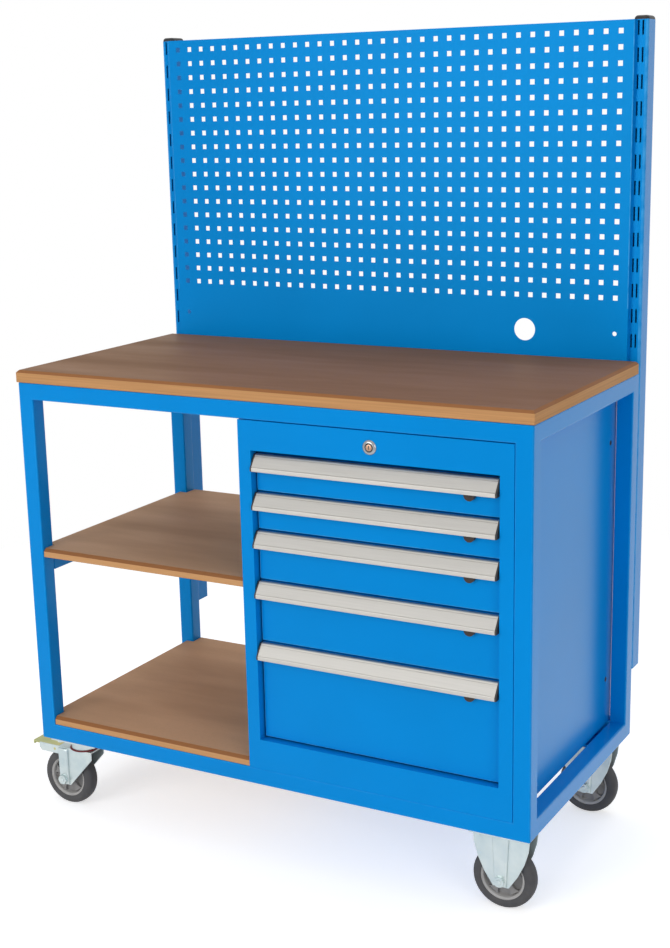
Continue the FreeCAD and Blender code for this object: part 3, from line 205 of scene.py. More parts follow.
def add(tree, kind, inputs=None, **settings):
    """A shader node with the given settings, its inputs fed by name or by place."""
    made = tree.nodes.new(kind)
    for name, value in settings.items():
        setattr(made, name, value)
    for label, value in (inputs or {}).items():
        feed(tree, made.inputs[label], value)
    return made


def shader_group(name, inputs, outputs):
    """A new shader group; inputs given as tuples and the output Color are colours, the rest are numbers."""
    tree = bpy.data.node_groups.new(name, "ShaderNodeTree")
    for label, value in inputs.items():
        is_colour = isinstance(value, tuple)
        kind = "NodeSocketColor" if is_colour else "NodeSocketFloat"
        socket = tree.interface.new_socket(name=label, in_out="INPUT", socket_type=kind)
        socket.default_value = (*value, 1.0) if is_colour else value
    for label in outputs:
        kind = "NodeSocketColor" if label == "Color" else "NodeSocketFloat"
        tree.interface.new_socket(name=label, in_out="OUTPUT", socket_type=kind)
    return tree, tree.nodes.new("NodeGroupInput").outputs


def stretched_noise(tree, scale, detail, stretch=EVEN):
    """Noise in the object's own coordinates, drawn out along the axes with a small stretch."""
    place = add(tree, "ShaderNodeTexCoord").outputs["Object"]
    spread = add(tree, "ShaderNodeMapping", {"Vector": place, "Scale": stretch}).outputs["Vector"]
    noise = add(tree, "ShaderNodeTexNoise", {"Vector": spread, "Scale": scale, "Detail": detail})
    return noise.outputs["Fac"]


def spread_of(tree, value, low=NOISE_LOW, high=NOISE_HIGH, to_low=0.0, to_high=1.0):
    """The part of a value between two limits, stretched to run between two others."""
    limits = {"Value": value, "From Min": low, "From Max": high, "To Min": to_low, "To Max": to_high}
    return add(tree, "ShaderNodeMapRange", limits).outputs["Result"]


def mixed_colour(tree, factor, first, second):
    """Two colours, each from a socket or plain, blended by a factor."""
    blend = add(tree, "ShaderNodeMix", {"Factor": factor}, data_type="RGBA")
    for value, name in ((first, "A"), (second, "B")):
        feed(tree, [entry for entry in blend.inputs if entry.name == name and entry.type == "RGBA"][0], value)
    return [entry for entry in blend.outputs if entry.type == "RGBA"][0]


def worked_out(tree, operation, *values):
    """The result of a Math node on one or two values, each from a socket or plain."""
    return add(tree, "ShaderNodeMath", dict(enumerate(values)), operation=operation).outputs[0]


def product(tree, first, second):
    return worked_out(tree, "MULTIPLY", first, second)


def surface_grain_group():
    """Fine unevenness of a coated or moulded surface, with broad cloudy shading."""
    tree, given = shader_group("surface_grain", {"Grain Scale": 450.0, "Cloud Scale": 5.0, "Rough Low": 0.4,
                                                 "Rough High": 0.5}, ("Cloud", "Roughness", "Height"))
    grain = stretched_noise(tree, given["Grain Scale"], detail=2.0)
    cloud = stretched_noise(tree, given["Cloud Scale"], detail=3.0)
    rough = spread_of(tree, cloud, to_low=given["Rough Low"], to_high=given["Rough High"])
    add(tree, "NodeGroupOutput", {"Cloud": spread_of(tree, cloud), "Roughness": rough, "Height": grain})


def edge_highlight_and_wear_group():
    """Turns the mark on rounded edges into a broken, uneven mask for the paler edge paint, which is partly
    wear and partly a painted highlight along the bends.
    """
    tree, given = shader_group("edge_wear", {"Edge": 0.0, "Amount": 0.5, "Chip Scale": 60.0}, ("Wear",))
    chips = stretched_noise(tree, given["Chip Scale"], detail=4.0)
    broken = spread_of(tree, chips, low=0.25, high=0.65)
    full = product(tree, given["Edge"], given["Amount"])
    add(tree, "NodeGroupOutput", {"Wear": product(tree, full, broken)})


def drawn_lines_group():
    """Fine lines left along X by drawing or rolling."""
    tree, given = shader_group("drawn_lines", {"Line Scale": 700.0, "Rough Low": 0.35, "Rough High": 0.5},
                               ("Line", "Roughness", "Height"))
    lines = stretched_noise(tree, given["Line Scale"], detail=3.0, stretch=(0.01, 1, 1))
    rough = spread_of(tree, lines, to_low=given["Rough Low"], to_high=given["Rough High"])
    add(tree, "NodeGroupOutput", {"Line": spread_of(tree, lines), "Roughness": rough, "Height": lines})


def fibre_board_group():
    """Pressed fibre: soft streaks and specks on the faces, fine layers on the sawn edges, and painted shade
    on the slanted bevels.
    """
    tree, given = shader_group("fibre_board", {"Face": (0.3, 0.2, 0.1), "Streak": (0.2, 0.1, 0.06),
                                               "Sawn": (0.5, 0.3, 0.1), "Bevel": (0.4, 0.2, 0.1),
                                               "Speck Scale": 420.0}, ("Color", "Roughness", "Height"))
    speck_strength, layer_strength = 0.35, 0.4
    broad = stretched_noise(tree, 1.4, detail=4.0, stretch=(1.6, 7.0, 7.0))
    specks = stretched_noise(tree, given["Speck Scale"], detail=4.0, stretch=(0.35, 1, 1))
    layers = stretched_noise(tree, 1.0, detail=3.0, stretch=(4.0, 4.0, 330.0))
    streak = spread_of(tree, broad, low=0.34, high=0.72)
    speck = product(tree, spread_of(tree, specks, low=0.5, high=0.75), speck_strength)
    face = mixed_colour(tree, streak, given["Face"], given["Streak"])
    face = mixed_colour(tree, speck, face, given["Streak"])
    band = product(tree, spread_of(tree, layers, low=0.35, high=0.75), layer_strength)
    sawn = mixed_colour(tree, band, given["Sawn"], given["Face"])
    facing = add(tree, "ShaderNodeNewGeometry").outputs["Normal"]
    level = worked_out(tree, "ABSOLUTE", add(tree, "ShaderNodeSeparateXYZ", {"Vector": facing}).outputs["Z"])
    # Slanted faces such as the bevels take the darker Bevel colour: painted shade.
    bevel = spread_of(tree, level, low=0.25, high=0.4)
    flat = spread_of(tree, level, low=0.9, high=0.97)
    edge = mixed_colour(tree, bevel, sawn, given["Bevel"])
    rough = spread_of(tree, broad, to_low=0.5, to_high=0.64)
    board = mixed_colour(tree, flat, edge, face)
    add(tree, "NodeGroupOutput", {"Color": board, "Roughness": rough, "Height": specks})


def dust_group():
    """Dry dust that gathers in patches."""
    tree, given = shader_group("dry_dust", {"Amount": 0.2, "Patch Scale": 35.0}, ("Dust",))
    patches = stretched_noise(tree, given["Patch Scale"], detail=5.0)
    cover = spread_of(tree, patches, low=0.35, high=0.75)
    add(tree, "NodeGroupOutput", {"Dust": product(tree, cover, given["Amount"])})


GROUP_MAKERS = {
    "surface_grain": surface_grain_group,
    "edge_wear": edge_highlight_and_wear_group,
    "drawn_lines": drawn_lines_group,
    "fibre_board": fibre_board_group,
    "dry_dust": dust_group,
}


def use_group(tree, name, **values):
    """Place a shared group in a material with its own values; gives back the group's outputs."""
    if name not in bpy.data.node_groups:
        GROUP_MAKERS[name]()
    inputs = {label.replace("_", " "): value for label, value in values.items()}
    return add(tree, "ShaderNodeGroup", inputs, node_tree=bpy.data.node_groups[name]).outputs


# Finishes

def shade(name):
    """A colour from the settings."""
    return tuple(getattr(bpy.context.scene.workbench_finishes, name))


def tone(plain, factor):
    """A colour made lighter or darker."""
    return tuple(min(1.0, part * factor) for part in plain)


def new_finish(name, plain, **constants):
    """A material with a Principled shader; constants are set on the shader's own sockets."""
    material = bpy.data.materials.new(f"{name}_finish")
    material.use_nodes = True
    material.diffuse_color = (*plain, 1.0)
    tree = material.node_tree
    shader = tree.nodes["Principled BSDF"]
    for label, value in {"Base Color": plain, **constants}.items():
        feed(tree, shader.inputs[label.replace("_", " ")], value)
    return material, tree, shader


def join_to_shader(tree, shader, base, surface, strength, depth):
    """Give the shader its colour, and the roughness and bump of a surface group."""
    bump = {"Height": surface["Height"], "Strength": strength, "Distance": depth}
    tree.links.new(base, shader.inputs["Base Color"])
    tree.links.new(surface["Roughness"], shader.inputs["Roughness"])
    tree.links.new(add(tree, "ShaderNodeBump", bump).outputs["Normal"], shader.inputs["Normal"])


def paint_finish(name):
    """Powder coat, paler on rounded edges: partly where it lies thin, partly a painted highlight along the
    bends.
    """
    plain = shade("paint")
    material, tree, shader = new_finish(name, plain, Specular_IOR_Level=0.42, Specular_Tint=(0.06, 0.5, 0.9))
    grain = use_group(tree, "surface_grain", Grain_Scale=520.0, Cloud_Scale=3.2,
                      Rough_Low=0.25, Rough_High=0.265)
    body = mixed_colour(tree, grain["Cloud"], tone(plain, 0.95), tone(plain, 1.04))
    edge = add(tree, "ShaderNodeAttribute", attribute_name=EDGE_MARK)
    wear = use_group(tree, "edge_wear", Edge=edge.outputs["Fac"],
                     Amount=bpy.context.scene.workbench_trim.wear, Chip_Scale=45.0)
    worn_and_lit = mixed_colour(tree, wear["Wear"], body, shade("paint_thin_and_highlight"))
    join_to_shader(tree, shader, worn_and_lit, grain, strength=0.12, depth=0.4 * MM)
    return material


def board_finish(name, face, streak):
    """Pressed board with the given face colours and the common sawn edge."""
    material, tree, shader = new_finish(name, shade(face), Specular_IOR_Level=0.15)
    board = use_group(tree, "fibre_board", Face=shade(face), Streak=shade(streak), Sawn=shade("board_edge"),
                      Bevel=shade("board_bevel_shade"), Speck_Scale=430.0)
    join_to_shader(tree, shader, board["Color"], board, strength=0.15, depth=0.3 * MM)
    return material


def aluminium_finish(name):
    """Anodised aluminium with the fine lines of its drawing."""
    plain = shade("aluminium")
    material, tree, shader = new_finish(name, plain, Metallic=0.9)
    lines = use_group(tree, "drawn_lines", Line_Scale=900.0, Rough_Low=0.36, Rough_High=0.5)
    drawn = mixed_colour(tree, lines["Line"], tone(plain, 0.94), tone(plain, 1.05))
    join_to_shader(tree, shader, drawn, lines, strength=0.1, depth=0.3 * MM)
    return material


def plated_finish(name, plain, low, high, tint=None, shading=1.0, metal=0.85):
    """A plated metal with patches of another tint or of a darker shading."""
    material, tree, shader = new_finish(name, shade(plain), Metallic=metal)
    grain = use_group(tree, "surface_grain", Grain_Scale=260.0, Cloud_Scale=26.0,
                      Rough_Low=low, Rough_High=high)
    patches = shade(tint) if tint else tone(shade(plain), shading)
    plate = mixed_colour(tree, grain["Cloud"], shade(plain), patches)
    join_to_shader(tree, shader, plate, grain, strength=0.12, depth=0.3 * MM)
    return material


def moulded_finish(name, plain, low, high, grain_scale, dust=0.0, soiled=0.0):
    """Moulded plastic or rubber with fine grain, some dust and a share of the dust on the wheels."""
    material, tree, shader = new_finish(name, shade(plain), Specular_IOR_Level=0.35)
    grain = use_group(tree, "surface_grain", Grain_Scale=grain_scale, Cloud_Scale=18.0,
                      Rough_Low=low, Rough_High=high)
    body = mixed_colour(tree, grain["Cloud"], tone(shade(plain), 0.9), tone(shade(plain), 1.1))
    amount = dust + bpy.context.scene.workbench_trim.dust * soiled
    cover = use_group(tree, "dry_dust", Amount=amount, Patch_Scale=40.0)
    dusty = mixed_colour(tree, cover["Dust"], body, shade("dust"))
    join_to_shader(tree, shader, dusty, grain, strength=0.2, depth=0.3 * MM)
    return material


FINISHES = {
    "blue_paint": (paint_finish, {}),
    "brown_board": (board_finish, dict(face="board", streak="board_dark")),
    # The shelves use the paler board colours: painted light.
    "shelf_board": (board_finish, dict(face="shelf", streak="lit_shelf_dark")),
    "handle_aluminium": (aluminium_finish, {}),
    "zinc_steel": (plated_finish, dict(plain="zinc", tint="zinc_tint", low=0.3, high=0.44, metal=0.75)),
    "yellow_zinc": (plated_finish, dict(plain="yellow_zinc", tint="yellow_tint", low=0.3, high=0.42)),
    "chrome_plate": (plated_finish, dict(plain="chrome", shading=0.9, low=0.12, high=0.2)),
    "copper_plate": (plated_finish, dict(plain="copper", shading=0.8, low=0.25, high=0.4)),
    "black_plastic": (moulded_finish, dict(plain="black", dust=0.03, low=0.4, high=0.5, grain_scale=700.0)),
    "cap_plastic": (moulded_finish, dict(plain="cap", dust=0.03, low=0.45, high=0.55, grain_scale=700.0)),
    "latch_plastic": (moulded_finish, dict(plain="latch", dust=0.03, low=0.38, high=0.5, grain_scale=700.0)),
    "grey_plastic": (moulded_finish, dict(plain="rim", soiled=0.6, low=0.42, high=0.55, grain_scale=600.0)),
    "ring_plastic": (moulded_finish, dict(plain="ring", soiled=0.5, low=0.42, high=0.55, grain_scale=600.0)),
    "tyre_rubber": (moulded_finish, dict(plain="tyre", soiled=0.5, low=0.62, high=0.78, grain_scale=380.0)),
    "seal_rubber": (moulded_finish, dict(plain="seal", dust=0.05, low=0.45, high=0.6, grain_scale=500.0)),
}


def finish(name):
    """The named finish, made the first time it is asked for."""
    if f"{name}_finish" in bpy.data.materials:
        return bpy.data.materials[f"{name}_finish"]
    maker, values = FINISHES[name]
    return maker(name, **values)


# Meshes

def object_from(bm, name):
    """Turn a bmesh into an object in the scene."""
    mesh = bpy.data.meshes.new(name)
    bm.to_mesh(mesh)
    bm.free()
    made = bpy.data.objects.new(name, mesh)
    bpy.context.scene.collection.objects.link(made)
    return made


def piece_from(bm, name, finish_name, body):
    """Turn a bmesh into a piece that rides on a body, with its finish in its one slot."""
    bmesh.ops.recalc_face_normals(bm, faces=bm.faces)
    made = object_from(bm, name)
    made.data.shade_smooth()
    made.data.set_sharp_from_angle(angle=SHARP_ANGLE)
    made.data.materials.append(finish(finish_name))
    weighting = made.modifiers.new("even_faces", "WEIGHTED_NORMAL")
    weighting.keep_sharp = True
    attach(made, body)
    return made


def dress(node, finish_name):
    """Give a CAD node that stays in view its finish."""
    thing = NODES[node]
    thing.data.materials.clear()
    thing.data.materials.append(finish(finish_name))


def mesh_of(node, whole_faces=True):
    """The node's mesh as a clean bmesh: corners joined and, unless it is full of holes, flat faces whole."""
    bm = bmesh.new()
    bm.from_mesh(NODES[node].data)
    bmesh.ops.remove_doubles(bm, verts=bm.verts, dist=JOIN_DISTANCE)
    if whole_faces:
        bmesh.ops.dissolve_limit(bm, angle_limit=FLAT_ANGLE, verts=bm.verts, edges=bm.edges)
    return bm


def middle_of(edge):
    return (edge.verts[0].co + edge.verts[1].co) / 2


def rise_of(edge):
    return abs(edge.verts[0].co.z - edge.verts[1].co.z)


def is_outer(edge, radius, room=FACE_ROOM):
    """True for a convex edge between two faces that are both wide enough to be rounded."""
    if len(edge.link_faces) != 2 or edge.calc_face_angle_signed(0.0) < OUTER_ANGLE:
        return False
    long = edge.calc_length()
    if long < SHORTEST_EDGE * radius:
        return False
    return all(face.calc_area() / long > room * radius for face in edge.link_faces)


def round_edges(bm, edges, radius, segments=3, worn_and_lit=1.0):
    """Round the edges and mark the new faces, where the paint turns paler: partly thin paint, partly a
    painted highlight.
    """
    mark = bm.faces.layers.float.get(EDGE_MARK) or bm.faces.layers.float.new(EDGE_MARK)
    made = bmesh.ops.bevel(bm, geom=edges, offset=radius, segments=segments, profile=0.5,
                           affect="EDGES", clamp_overlap=True)
    for face in made["faces"]:
        face[mark] = worn_and_lit


def stand_in(bm, node, finish_name):
    """Turn the rounded mesh of a CAD node into the piece shown in its place."""
    made = piece_from(bm, f"{node}_rounded", finish_name, BODY_OF[node])
    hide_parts(node)


def softened(node, radius, finish_name, choose=None, segments=3):
    """Stand in for a CAD node with its own shape, its outer edges rounded."""
    bm = mesh_of(node)
    edges = [edge for edge in bm.edges if is_outer(edge, radius) and (choose is None or choose(edge))]
    round_edges(bm, edges, radius, segments)
    stand_in(bm, node, finish_name)


def corner_strips(bm, low, high, width):
    """Part the faces of a slotted piece beside its four upright corners, so that they can be rounded."""
    for axis in (0, 1):
        for place in (low[axis] + width, high[axis] - width):
            point, normal = Vector(), Vector()
            point[axis] = place
            normal[axis] = 1.0
            bmesh.ops.bisect_plane(bm, geom=bm.verts[:] + bm.edges[:] + bm.faces[:], dist=JOIN_DISTANCE,
                                   plane_co=point, plane_no=normal)
    spare = []
    for edge in bm.edges:
        if len(edge.link_faces) != 2 or edge.calc_face_angle(0.0) > FLAT_ANGLE:
            continue
        middle = middle_of(edge)
        inside = [min(middle[axis] - low[axis], high[axis] - middle[axis]) for axis in (0, 1)]
        if max(inside) < width - HAIR:
            spare.append(edge)
    bmesh.ops.dissolve_edges(bm, edges=spare, use_verts=False)


def softened_corners(node, radius, choose, worn_and_lit=1.0):
    """Stand in for a painted node full of holes, with the chosen upright corners rounded."""
    low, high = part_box(node)
    bm = mesh_of(node, whole_faces=False)
    corner_strips(bm, low, high, radius * STRIP_WIDTH)
    edges = [edge for edge in bm.edges if is_outer(edge, radius, STRIP_ROOM) and choose(edge, low, high)]
    round_edges(bm, edges, radius, CORNER_SEGMENTS, worn_and_lit)
    stand_in(bm, node, "blue_paint")


def on_tube_corner(edge, low, high):
    """True for the long outer corners of an upright."""
    middle = middle_of(edge)
    on_side = min(abs(middle.x - low.x), abs(middle.x - high.x)) < MM
    on_face = min(abs(middle.y - low.y), abs(middle.y - high.y)) < MM
    return on_side and on_face and edge.calc_length() > LONG_UPRIGHT_EDGE


def on_panel_bend(edge, low, high):
    """True for the two upright bends at the front of the perforated panel."""
    return rise_of(edge) > LONG_PANEL_EDGE and all(vert.co.y < low.y + HAIR for vert in edge.verts)


def on_free_front(edge, low, high):
    """True for the edges of a drawer front that the handle leaves free."""
    free = any(vert.co.z < high.z - MM for vert in edge.verts)
    return free and all(vert.co.y < low.y + HAIR for vert in edge.verts)


def centre_of(node):
    low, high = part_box(node)
    return (low + high) / 2


def block(bm, low, high):
    """Add a box between two corners."""
    low, high = Vector(low), Vector(high)
    size = high - low
    matrix = Matrix.Translation((low + high) / 2) @ Matrix.Diagonal((*size, 1.0))
    return bmesh.ops.create_cube(bm, size=1.0, matrix=matrix)["verts"]


def arc_corner(before, corner, after, radius, steps):
    """Points of a fillet between two straight runs of an outline, shorter than half of either run."""
    longest_share = 0.45
    before, corner, after = Vector(before), Vector(corner), Vector(after)
    back, ahead = before - corner, after - corner
    room = longest_share * min(back.length, ahead.length)
    back, ahead = back.normalized(), ahead.normalized()
    reach = min(radius / math.tan(back.angle(ahead) / 2), room)
    first, last = corner + back * reach, corner + ahead * reach
    points = []
    for step in range(steps + 1):
        gone = step / steps
        points.append((1 - gone) ** 2 * first + 2 * gone * (1 - gone) * corner + gone ** 2 * last)
    return points


def rounded(outline, radius, steps):
    """An outline with every corner rounded."""
    points = []
    for count, corner in enumerate(outline):
        points += arc_corner(outline[count - 1], corner, outline[(count + 1) % len(outline)], radius, steps)
    return points


def extrude_outline(bm, outline, lay, start, end):
    """A prism: outline points are put in place by lay(across, up, along) at both ends."""
    first = [bm.verts.new(lay(point[0], point[1], start)) for point in outline]
    last = [bm.verts.new(lay(point[0], point[1], end)) for point in outline]
    count = len(outline)
    bm.faces.new(first)
    bm.faces.new(last)
    for index in range(count):
        follow = (index + 1) % count
        bm.faces.new((first[index], first[follow], last[follow], last[index]))


def lathe(bm, profile, lay, segments):
    """A ring turned from a closed profile of (along, radius) points, or a function of the turn giving one."""
    rings = []
    for step in range(segments):
        turn = 2 * math.pi * step / segments
        section = profile(turn) if callable(profile) else profile
        rings.append([bm.verts.new(lay(along, radius * math.cos(turn), radius * math.sin(turn)))
                      for along, radius in section])
    for step in range(segments):
        here, there = rings[step], rings[(step + 1) % segments]
        for index in range(len(here)):
            follow = (index + 1) % len(here)
            bm.faces.new((here[index], here[follow], there[follow], there[index]))


def turned_piece(name, profile, lay, segments, finish_name, body):
    """A piece made of one turned ring."""
    bm = bmesh.new()
    lathe(bm, profile, lay, segments)
    return piece_from(bm, name, finish_name, body)


def mirrored(half, middle=()):
    """A whole section from its half on one side and the points on the middle plane."""
    return [*half, *middle, *((-along, radius) for along, radius in reversed(half))]


def across(centre):
    """Lay a turned piece about a line along Y through the centre; sizes in millimetres."""
    return lambda along, one, two: (centre.x + one * MM, centre.y + along * MM, centre.z + two * MM)


def upright_axis(centre):
    """Lay a turned piece about a vertical line through the centre; sizes in millimetres."""
    return lambda along, one, two: (centre.x + one * MM, centre.y + two * MM, centre.z + along * MM)


def joined_blocks(boxes):
    """One closed mesh from boxes that touch or overlap, as welded tubes do."""
    whole = None
    for count, (low, high) in enumerate(boxes):
        bm = bmesh.new()
        block(bm, low, high)
        tube = object_from(bm, f"tube_{count}")
        if whole is None:
            whole = tube
            continue
        weld = whole.modifiers.new("weld", "BOOLEAN")
        weld.operation = "UNION"
        weld.solver = "EXACT"
        weld.object = tube
        bpy.context.view_layer.update()
        depsgraph = bpy.context.evaluated_depsgraph_get()
        joined = bpy.data.meshes.new_from_object(whole.evaluated_get(depsgraph))
        whole.modifiers.clear()
        whole.data = joined
        bpy.data.objects.remove(tube)
    bm = bmesh.new()
    bm.from_mesh(whole.data)
    bpy.data.objects.remove(whole)
    bmesh.ops.remove_doubles(bm, verts=bm.verts, dist=WELD_DISTANCE)
    bmesh.ops.dissolve_limit(bm, angle_limit=FLAT_ANGLE, verts=bm.verts, edges=bm.edges)
    return bm


def frame_tubes():
    """Boxes of the four legs and of the rails between them, at the top and at the bottom."""
    low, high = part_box("corner_legs")
    spans = [((low[axis], low[axis] + TUBE_SIDE), (high[axis] - TUBE_SIDE, high[axis])) for axis in range(3)]
    inner = [(low[axis] + TUBE_SIDE, high[axis] - TUBE_SIDE) for axis in range(3)]
    tubes = [(x, y, (low.z, high.z)) for x in spans[0] for y in spans[1]]
    for z in spans[2]:
        tubes += [(inner[0], y, z) for y in spans[1]]
        tubes += [(x, inner[1], z) for x in spans[0]]
    return [tuple(zip(*limits)) for limits in tubes]


# Operators, one for each group of like pieces

class WORKBENCH_OT_frame(bpy.types.Operator):
    """Weld the tube frame into one painted piece with rounded tube edges"""
    bl_idname = "workbench.frame"
    bl_label = "Frame"

    def execute(self, context):
        trim = context.scene.workbench_trim
        bm = joined_blocks(frame_tubes())
        edges = [edge for edge in bm.edges if is_outer(edge, trim.tube_edge)]
        # The tube edges take only a little of the paler edge paint, which is wear and painted highlight.
        round_edges(bm, edges, trim.tube_edge, worn_and_lit=0.15)
        made = piece_from(bm, "welded_frame", "blue_paint", "bench")
        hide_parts("corner_legs", "frame_rails")
        softened("caster_pads", trim.small_edge, "blue_paint")
        dress("shelf_rails", "blue_paint")
        dress("frame_bolts", "zinc_steel")
        return {"FINISHED"}


class WORKBENCH_OT_boards(bpy.types.Operator):
    """Dress the worktop and the shelves"""
    bl_idname = "workbench.boards"
    bl_label = "Boards"

    def execute(self, context):
        trim = context.scene.workbench_trim
        softened("worktop", trim.board_edge, "brown_board")
        for node in ("middle_shelf", "lower_shelf"):
            softened(node, trim.board_edge, "shelf_board")
        return {"FINISHED"}


class WORKBENCH_OT_back_wall(bpy.types.Operator):
    """Dress the uprights, their caps and the panels"""
    bl_idname = "workbench.back_wall"
    bl_label = "Back wall"

    def execute(self, context):
        trim = context.scene.workbench_trim
        for node in UPRIGHTS:
            softened_corners(node, trim.upright_edge, on_tube_corner)
        self.caps(trim)
        # The panel bends take extra paler edge paint: a painted highlight along the bends as well as wear.
        softened_corners("perforated_panel", trim.panel_edge, on_panel_bend, worn_and_lit=1.4)
        dress("cable_panel", "blue_paint")
        return {"FINISHED"}

    def caps(self, trim):
        """Domed caps as wide as the uprights, a little lower than the CAD node."""
        dome = trim.upright_edge * 1.3
        base, top = (corner.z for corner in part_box("upright_caps"))
        bm = bmesh.new()
        for node in UPRIGHTS:
            low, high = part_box(node)
            fresh = set(block(bm, (low.x, low.y, base), (high.x, high.y, top - trim.cap_saving)))
            edges = [edge for edge in bm.edges if edge.verts[0] in fresh]
            upper = [edge for edge in edges if all(vert.co.z > base + MM for vert in edge.verts)]
            standing = [edge for edge in edges if rise_of(edge) > MM]
            round_edges(bm, upper + standing, dome, segments=7)
        made = piece_from(bm, "upright_caps_domed", "black_plastic", "bench")
        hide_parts("upright_caps")


class WORKBENCH_OT_cabinet(bpy.types.Operator):
    """Dress the cabinet, its slides and its lock"""
    bl_idname = "workbench.cabinet"
    bl_label = "Cabinet"

    def execute(self, context):
        for node in ("cabinet_front_frame", "cabinet_shell", "cabinet_top_and_floor"):
            dress(node, "blue_paint")
        slides = [f"slide_middles_{drawer}" for drawer in DRAWERS]
        for node in ("cabinet_rails", "lock_guides", "lock_bar", "lock_plug", *slides):
            dress(node, "zinc_steel")
        self.lock_face()
        self.grommets()
        return {"FINISHED"}

    def lock_face(self):
        """A turned bezel, a dark ring inside it and the slotted face of the plug."""
        low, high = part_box("lock_barrel")
        lay = across(Vector(((low.x + high.x) / 2, low.y, (low.z + high.z) / 2)))
        body = BODY_OF["lock_barrel"]
        bezel = [(0.9, 6.05), (0.9, 7.6), (-0.6, 8.6), (-0.6, 9.8), (0.6, 12.4), (1.9, 13.8), (3.0, 14.0),
                 (3.0, 9.0), (33.0, 9.0), (33.0, 6.05)]
        ring = [(0.3, 6.1), (0.3, 7.7), (0.88, 7.7), (0.88, 6.1)]
        slot_half_width, slot_half_height, least = 0.9, 3.6, 0.01
        segments = 64

        def plug_section(turn):
            """Section of the plug's face, which is open round the key slot."""
            slot = min(slot_half_width / max(abs(math.cos(turn)), least),
                       slot_half_height / max(abs(math.sin(turn)), least))
            return [(-0.5, slot), (-0.5, 5.0), (-0.1, 5.8), (0.02, 5.8), (0.02, slot)]
        made = turned_piece("lock_bezel", bezel, lay, segments, "chrome_plate", body)
        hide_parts("lock_barrel")
        turned_piece("lock_ring", ring, lay, segments, "black_plastic", body)
        body = BODY_OF["lock_plug"]
        turned_piece("lock_plug_face", plug_section, lay, segments, "copper_plate", body)

    def grommets(self):
        """Black rings over the holes of both side walls: painted shade that makes the holes look dark and
        wide.
        """
        low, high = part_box("cabinet_shell")
        section = [(0.02, 1.4), (0.9, 1.8), (0.9, 4.2), (0.02, 5.2)]
        place_y = high.y - HOLE_FROM_REAR
        first_z = low.z + HOLE_FROM_FLOOR
        bm = bmesh.new()
        for wall, out in ((low.x, -MM), (high.x, MM)):
            for place_z in (first_z, first_z + HOLE_SPACING):
                def lay(along, one, two):
                    return (wall + out * along, place_y + one * MM, place_z + two * MM)
                lathe(bm, section, lay, segments=32)
        piece_from(bm, "wall_grommets", "black_plastic", BODY_OF["cabinet_shell"])


class WORKBENCH_OT_drawers(bpy.types.Operator):
    """Fold the drawer fronts, and draw the handle strips with their fine lines"""
    bl_idname = "workbench.drawers"
    bl_label = "Drawers"

    def execute(self, context):
        trim = context.scene.workbench_trim
        for drawer in DRAWERS:
            low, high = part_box(f"drawer_{drawer}")
            # The free edges of each front take the paler edge paint: wear and a painted highlight along the
            # bends.
            softened(f"drawer_{drawer}", trim.front_edge, "blue_paint", segments=CORNER_SEGMENTS,
                     choose=lambda edge: on_free_front(edge, low, high))
            self.handle(f"handle_{drawer}", trim)
            softened(f"handle_caps_{drawer}", trim.small_edge, "cap_plastic")
            softened(f"latch_{drawer}", trim.latch_edge, "latch_plastic")
        return {"FINISHED"}

    def handle(self, node, trim):
        """One aluminium strip: the CAD section with rounded corners and two fine grooves."""
        low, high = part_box(node)
        top_depth, wall, back, lip, turn_in = 6 * MM, 2 * MM, 19 * MM, 7 * MM, 8 * MM
        corner, half_groove, near = 0.7 * MM, 0.7 * MM, 1.2 * MM
        groove_places = (0.05, 0.8)
        reach, tall = high.y - low.y, high.z - low.z
        slope = (reach - top_depth) / (tall - lip)
        upper, lower = Vector((top_depth, tall)), Vector((reach, lip))
        along = (upper - lower).normalized()
        inward = Vector((-along.y, along.x)) * trim.groove
        mouth, bed = along * half_groove, along * half_groove / 2
        groove = []
        for place in groove_places:
            middle = lower + (upper - lower) * place
            groove += [middle - mouth, middle - bed + inward, middle + bed + inward, middle + mouth]
        outline = [(0, tall), (0, tall - back), (wall, tall - back), (wall, tall - wall),
                   (top_depth - wall * slope, tall - wall), (reach - wall, lip - wall / 2),
                   (reach - wall, wall), (reach - turn_in, wall), (reach - turn_in, 0), (reach, 0),
                   tuple(lower)]
        crown = arc_corner(lower, upper, (0, tall), trim.handle_crown, steps=5)
        smooth = rounded(outline + [tuple(point) for point in crown], corner, steps=3)
        turn = [count for count, point in enumerate(smooth) if (point - lower).length < near][-1]
        smooth = smooth[:turn + 1] + groove + smooth[turn + 1:]
        bm = bmesh.new()
        extrude_outline(bm, smooth, lambda depth, up, place: (place, high.y - depth, low.z + up),
                        low.x, high.x)
        made = piece_from(bm, f"{node}_strip", "handle_aluminium", BODY_OF[node])
        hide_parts(node)


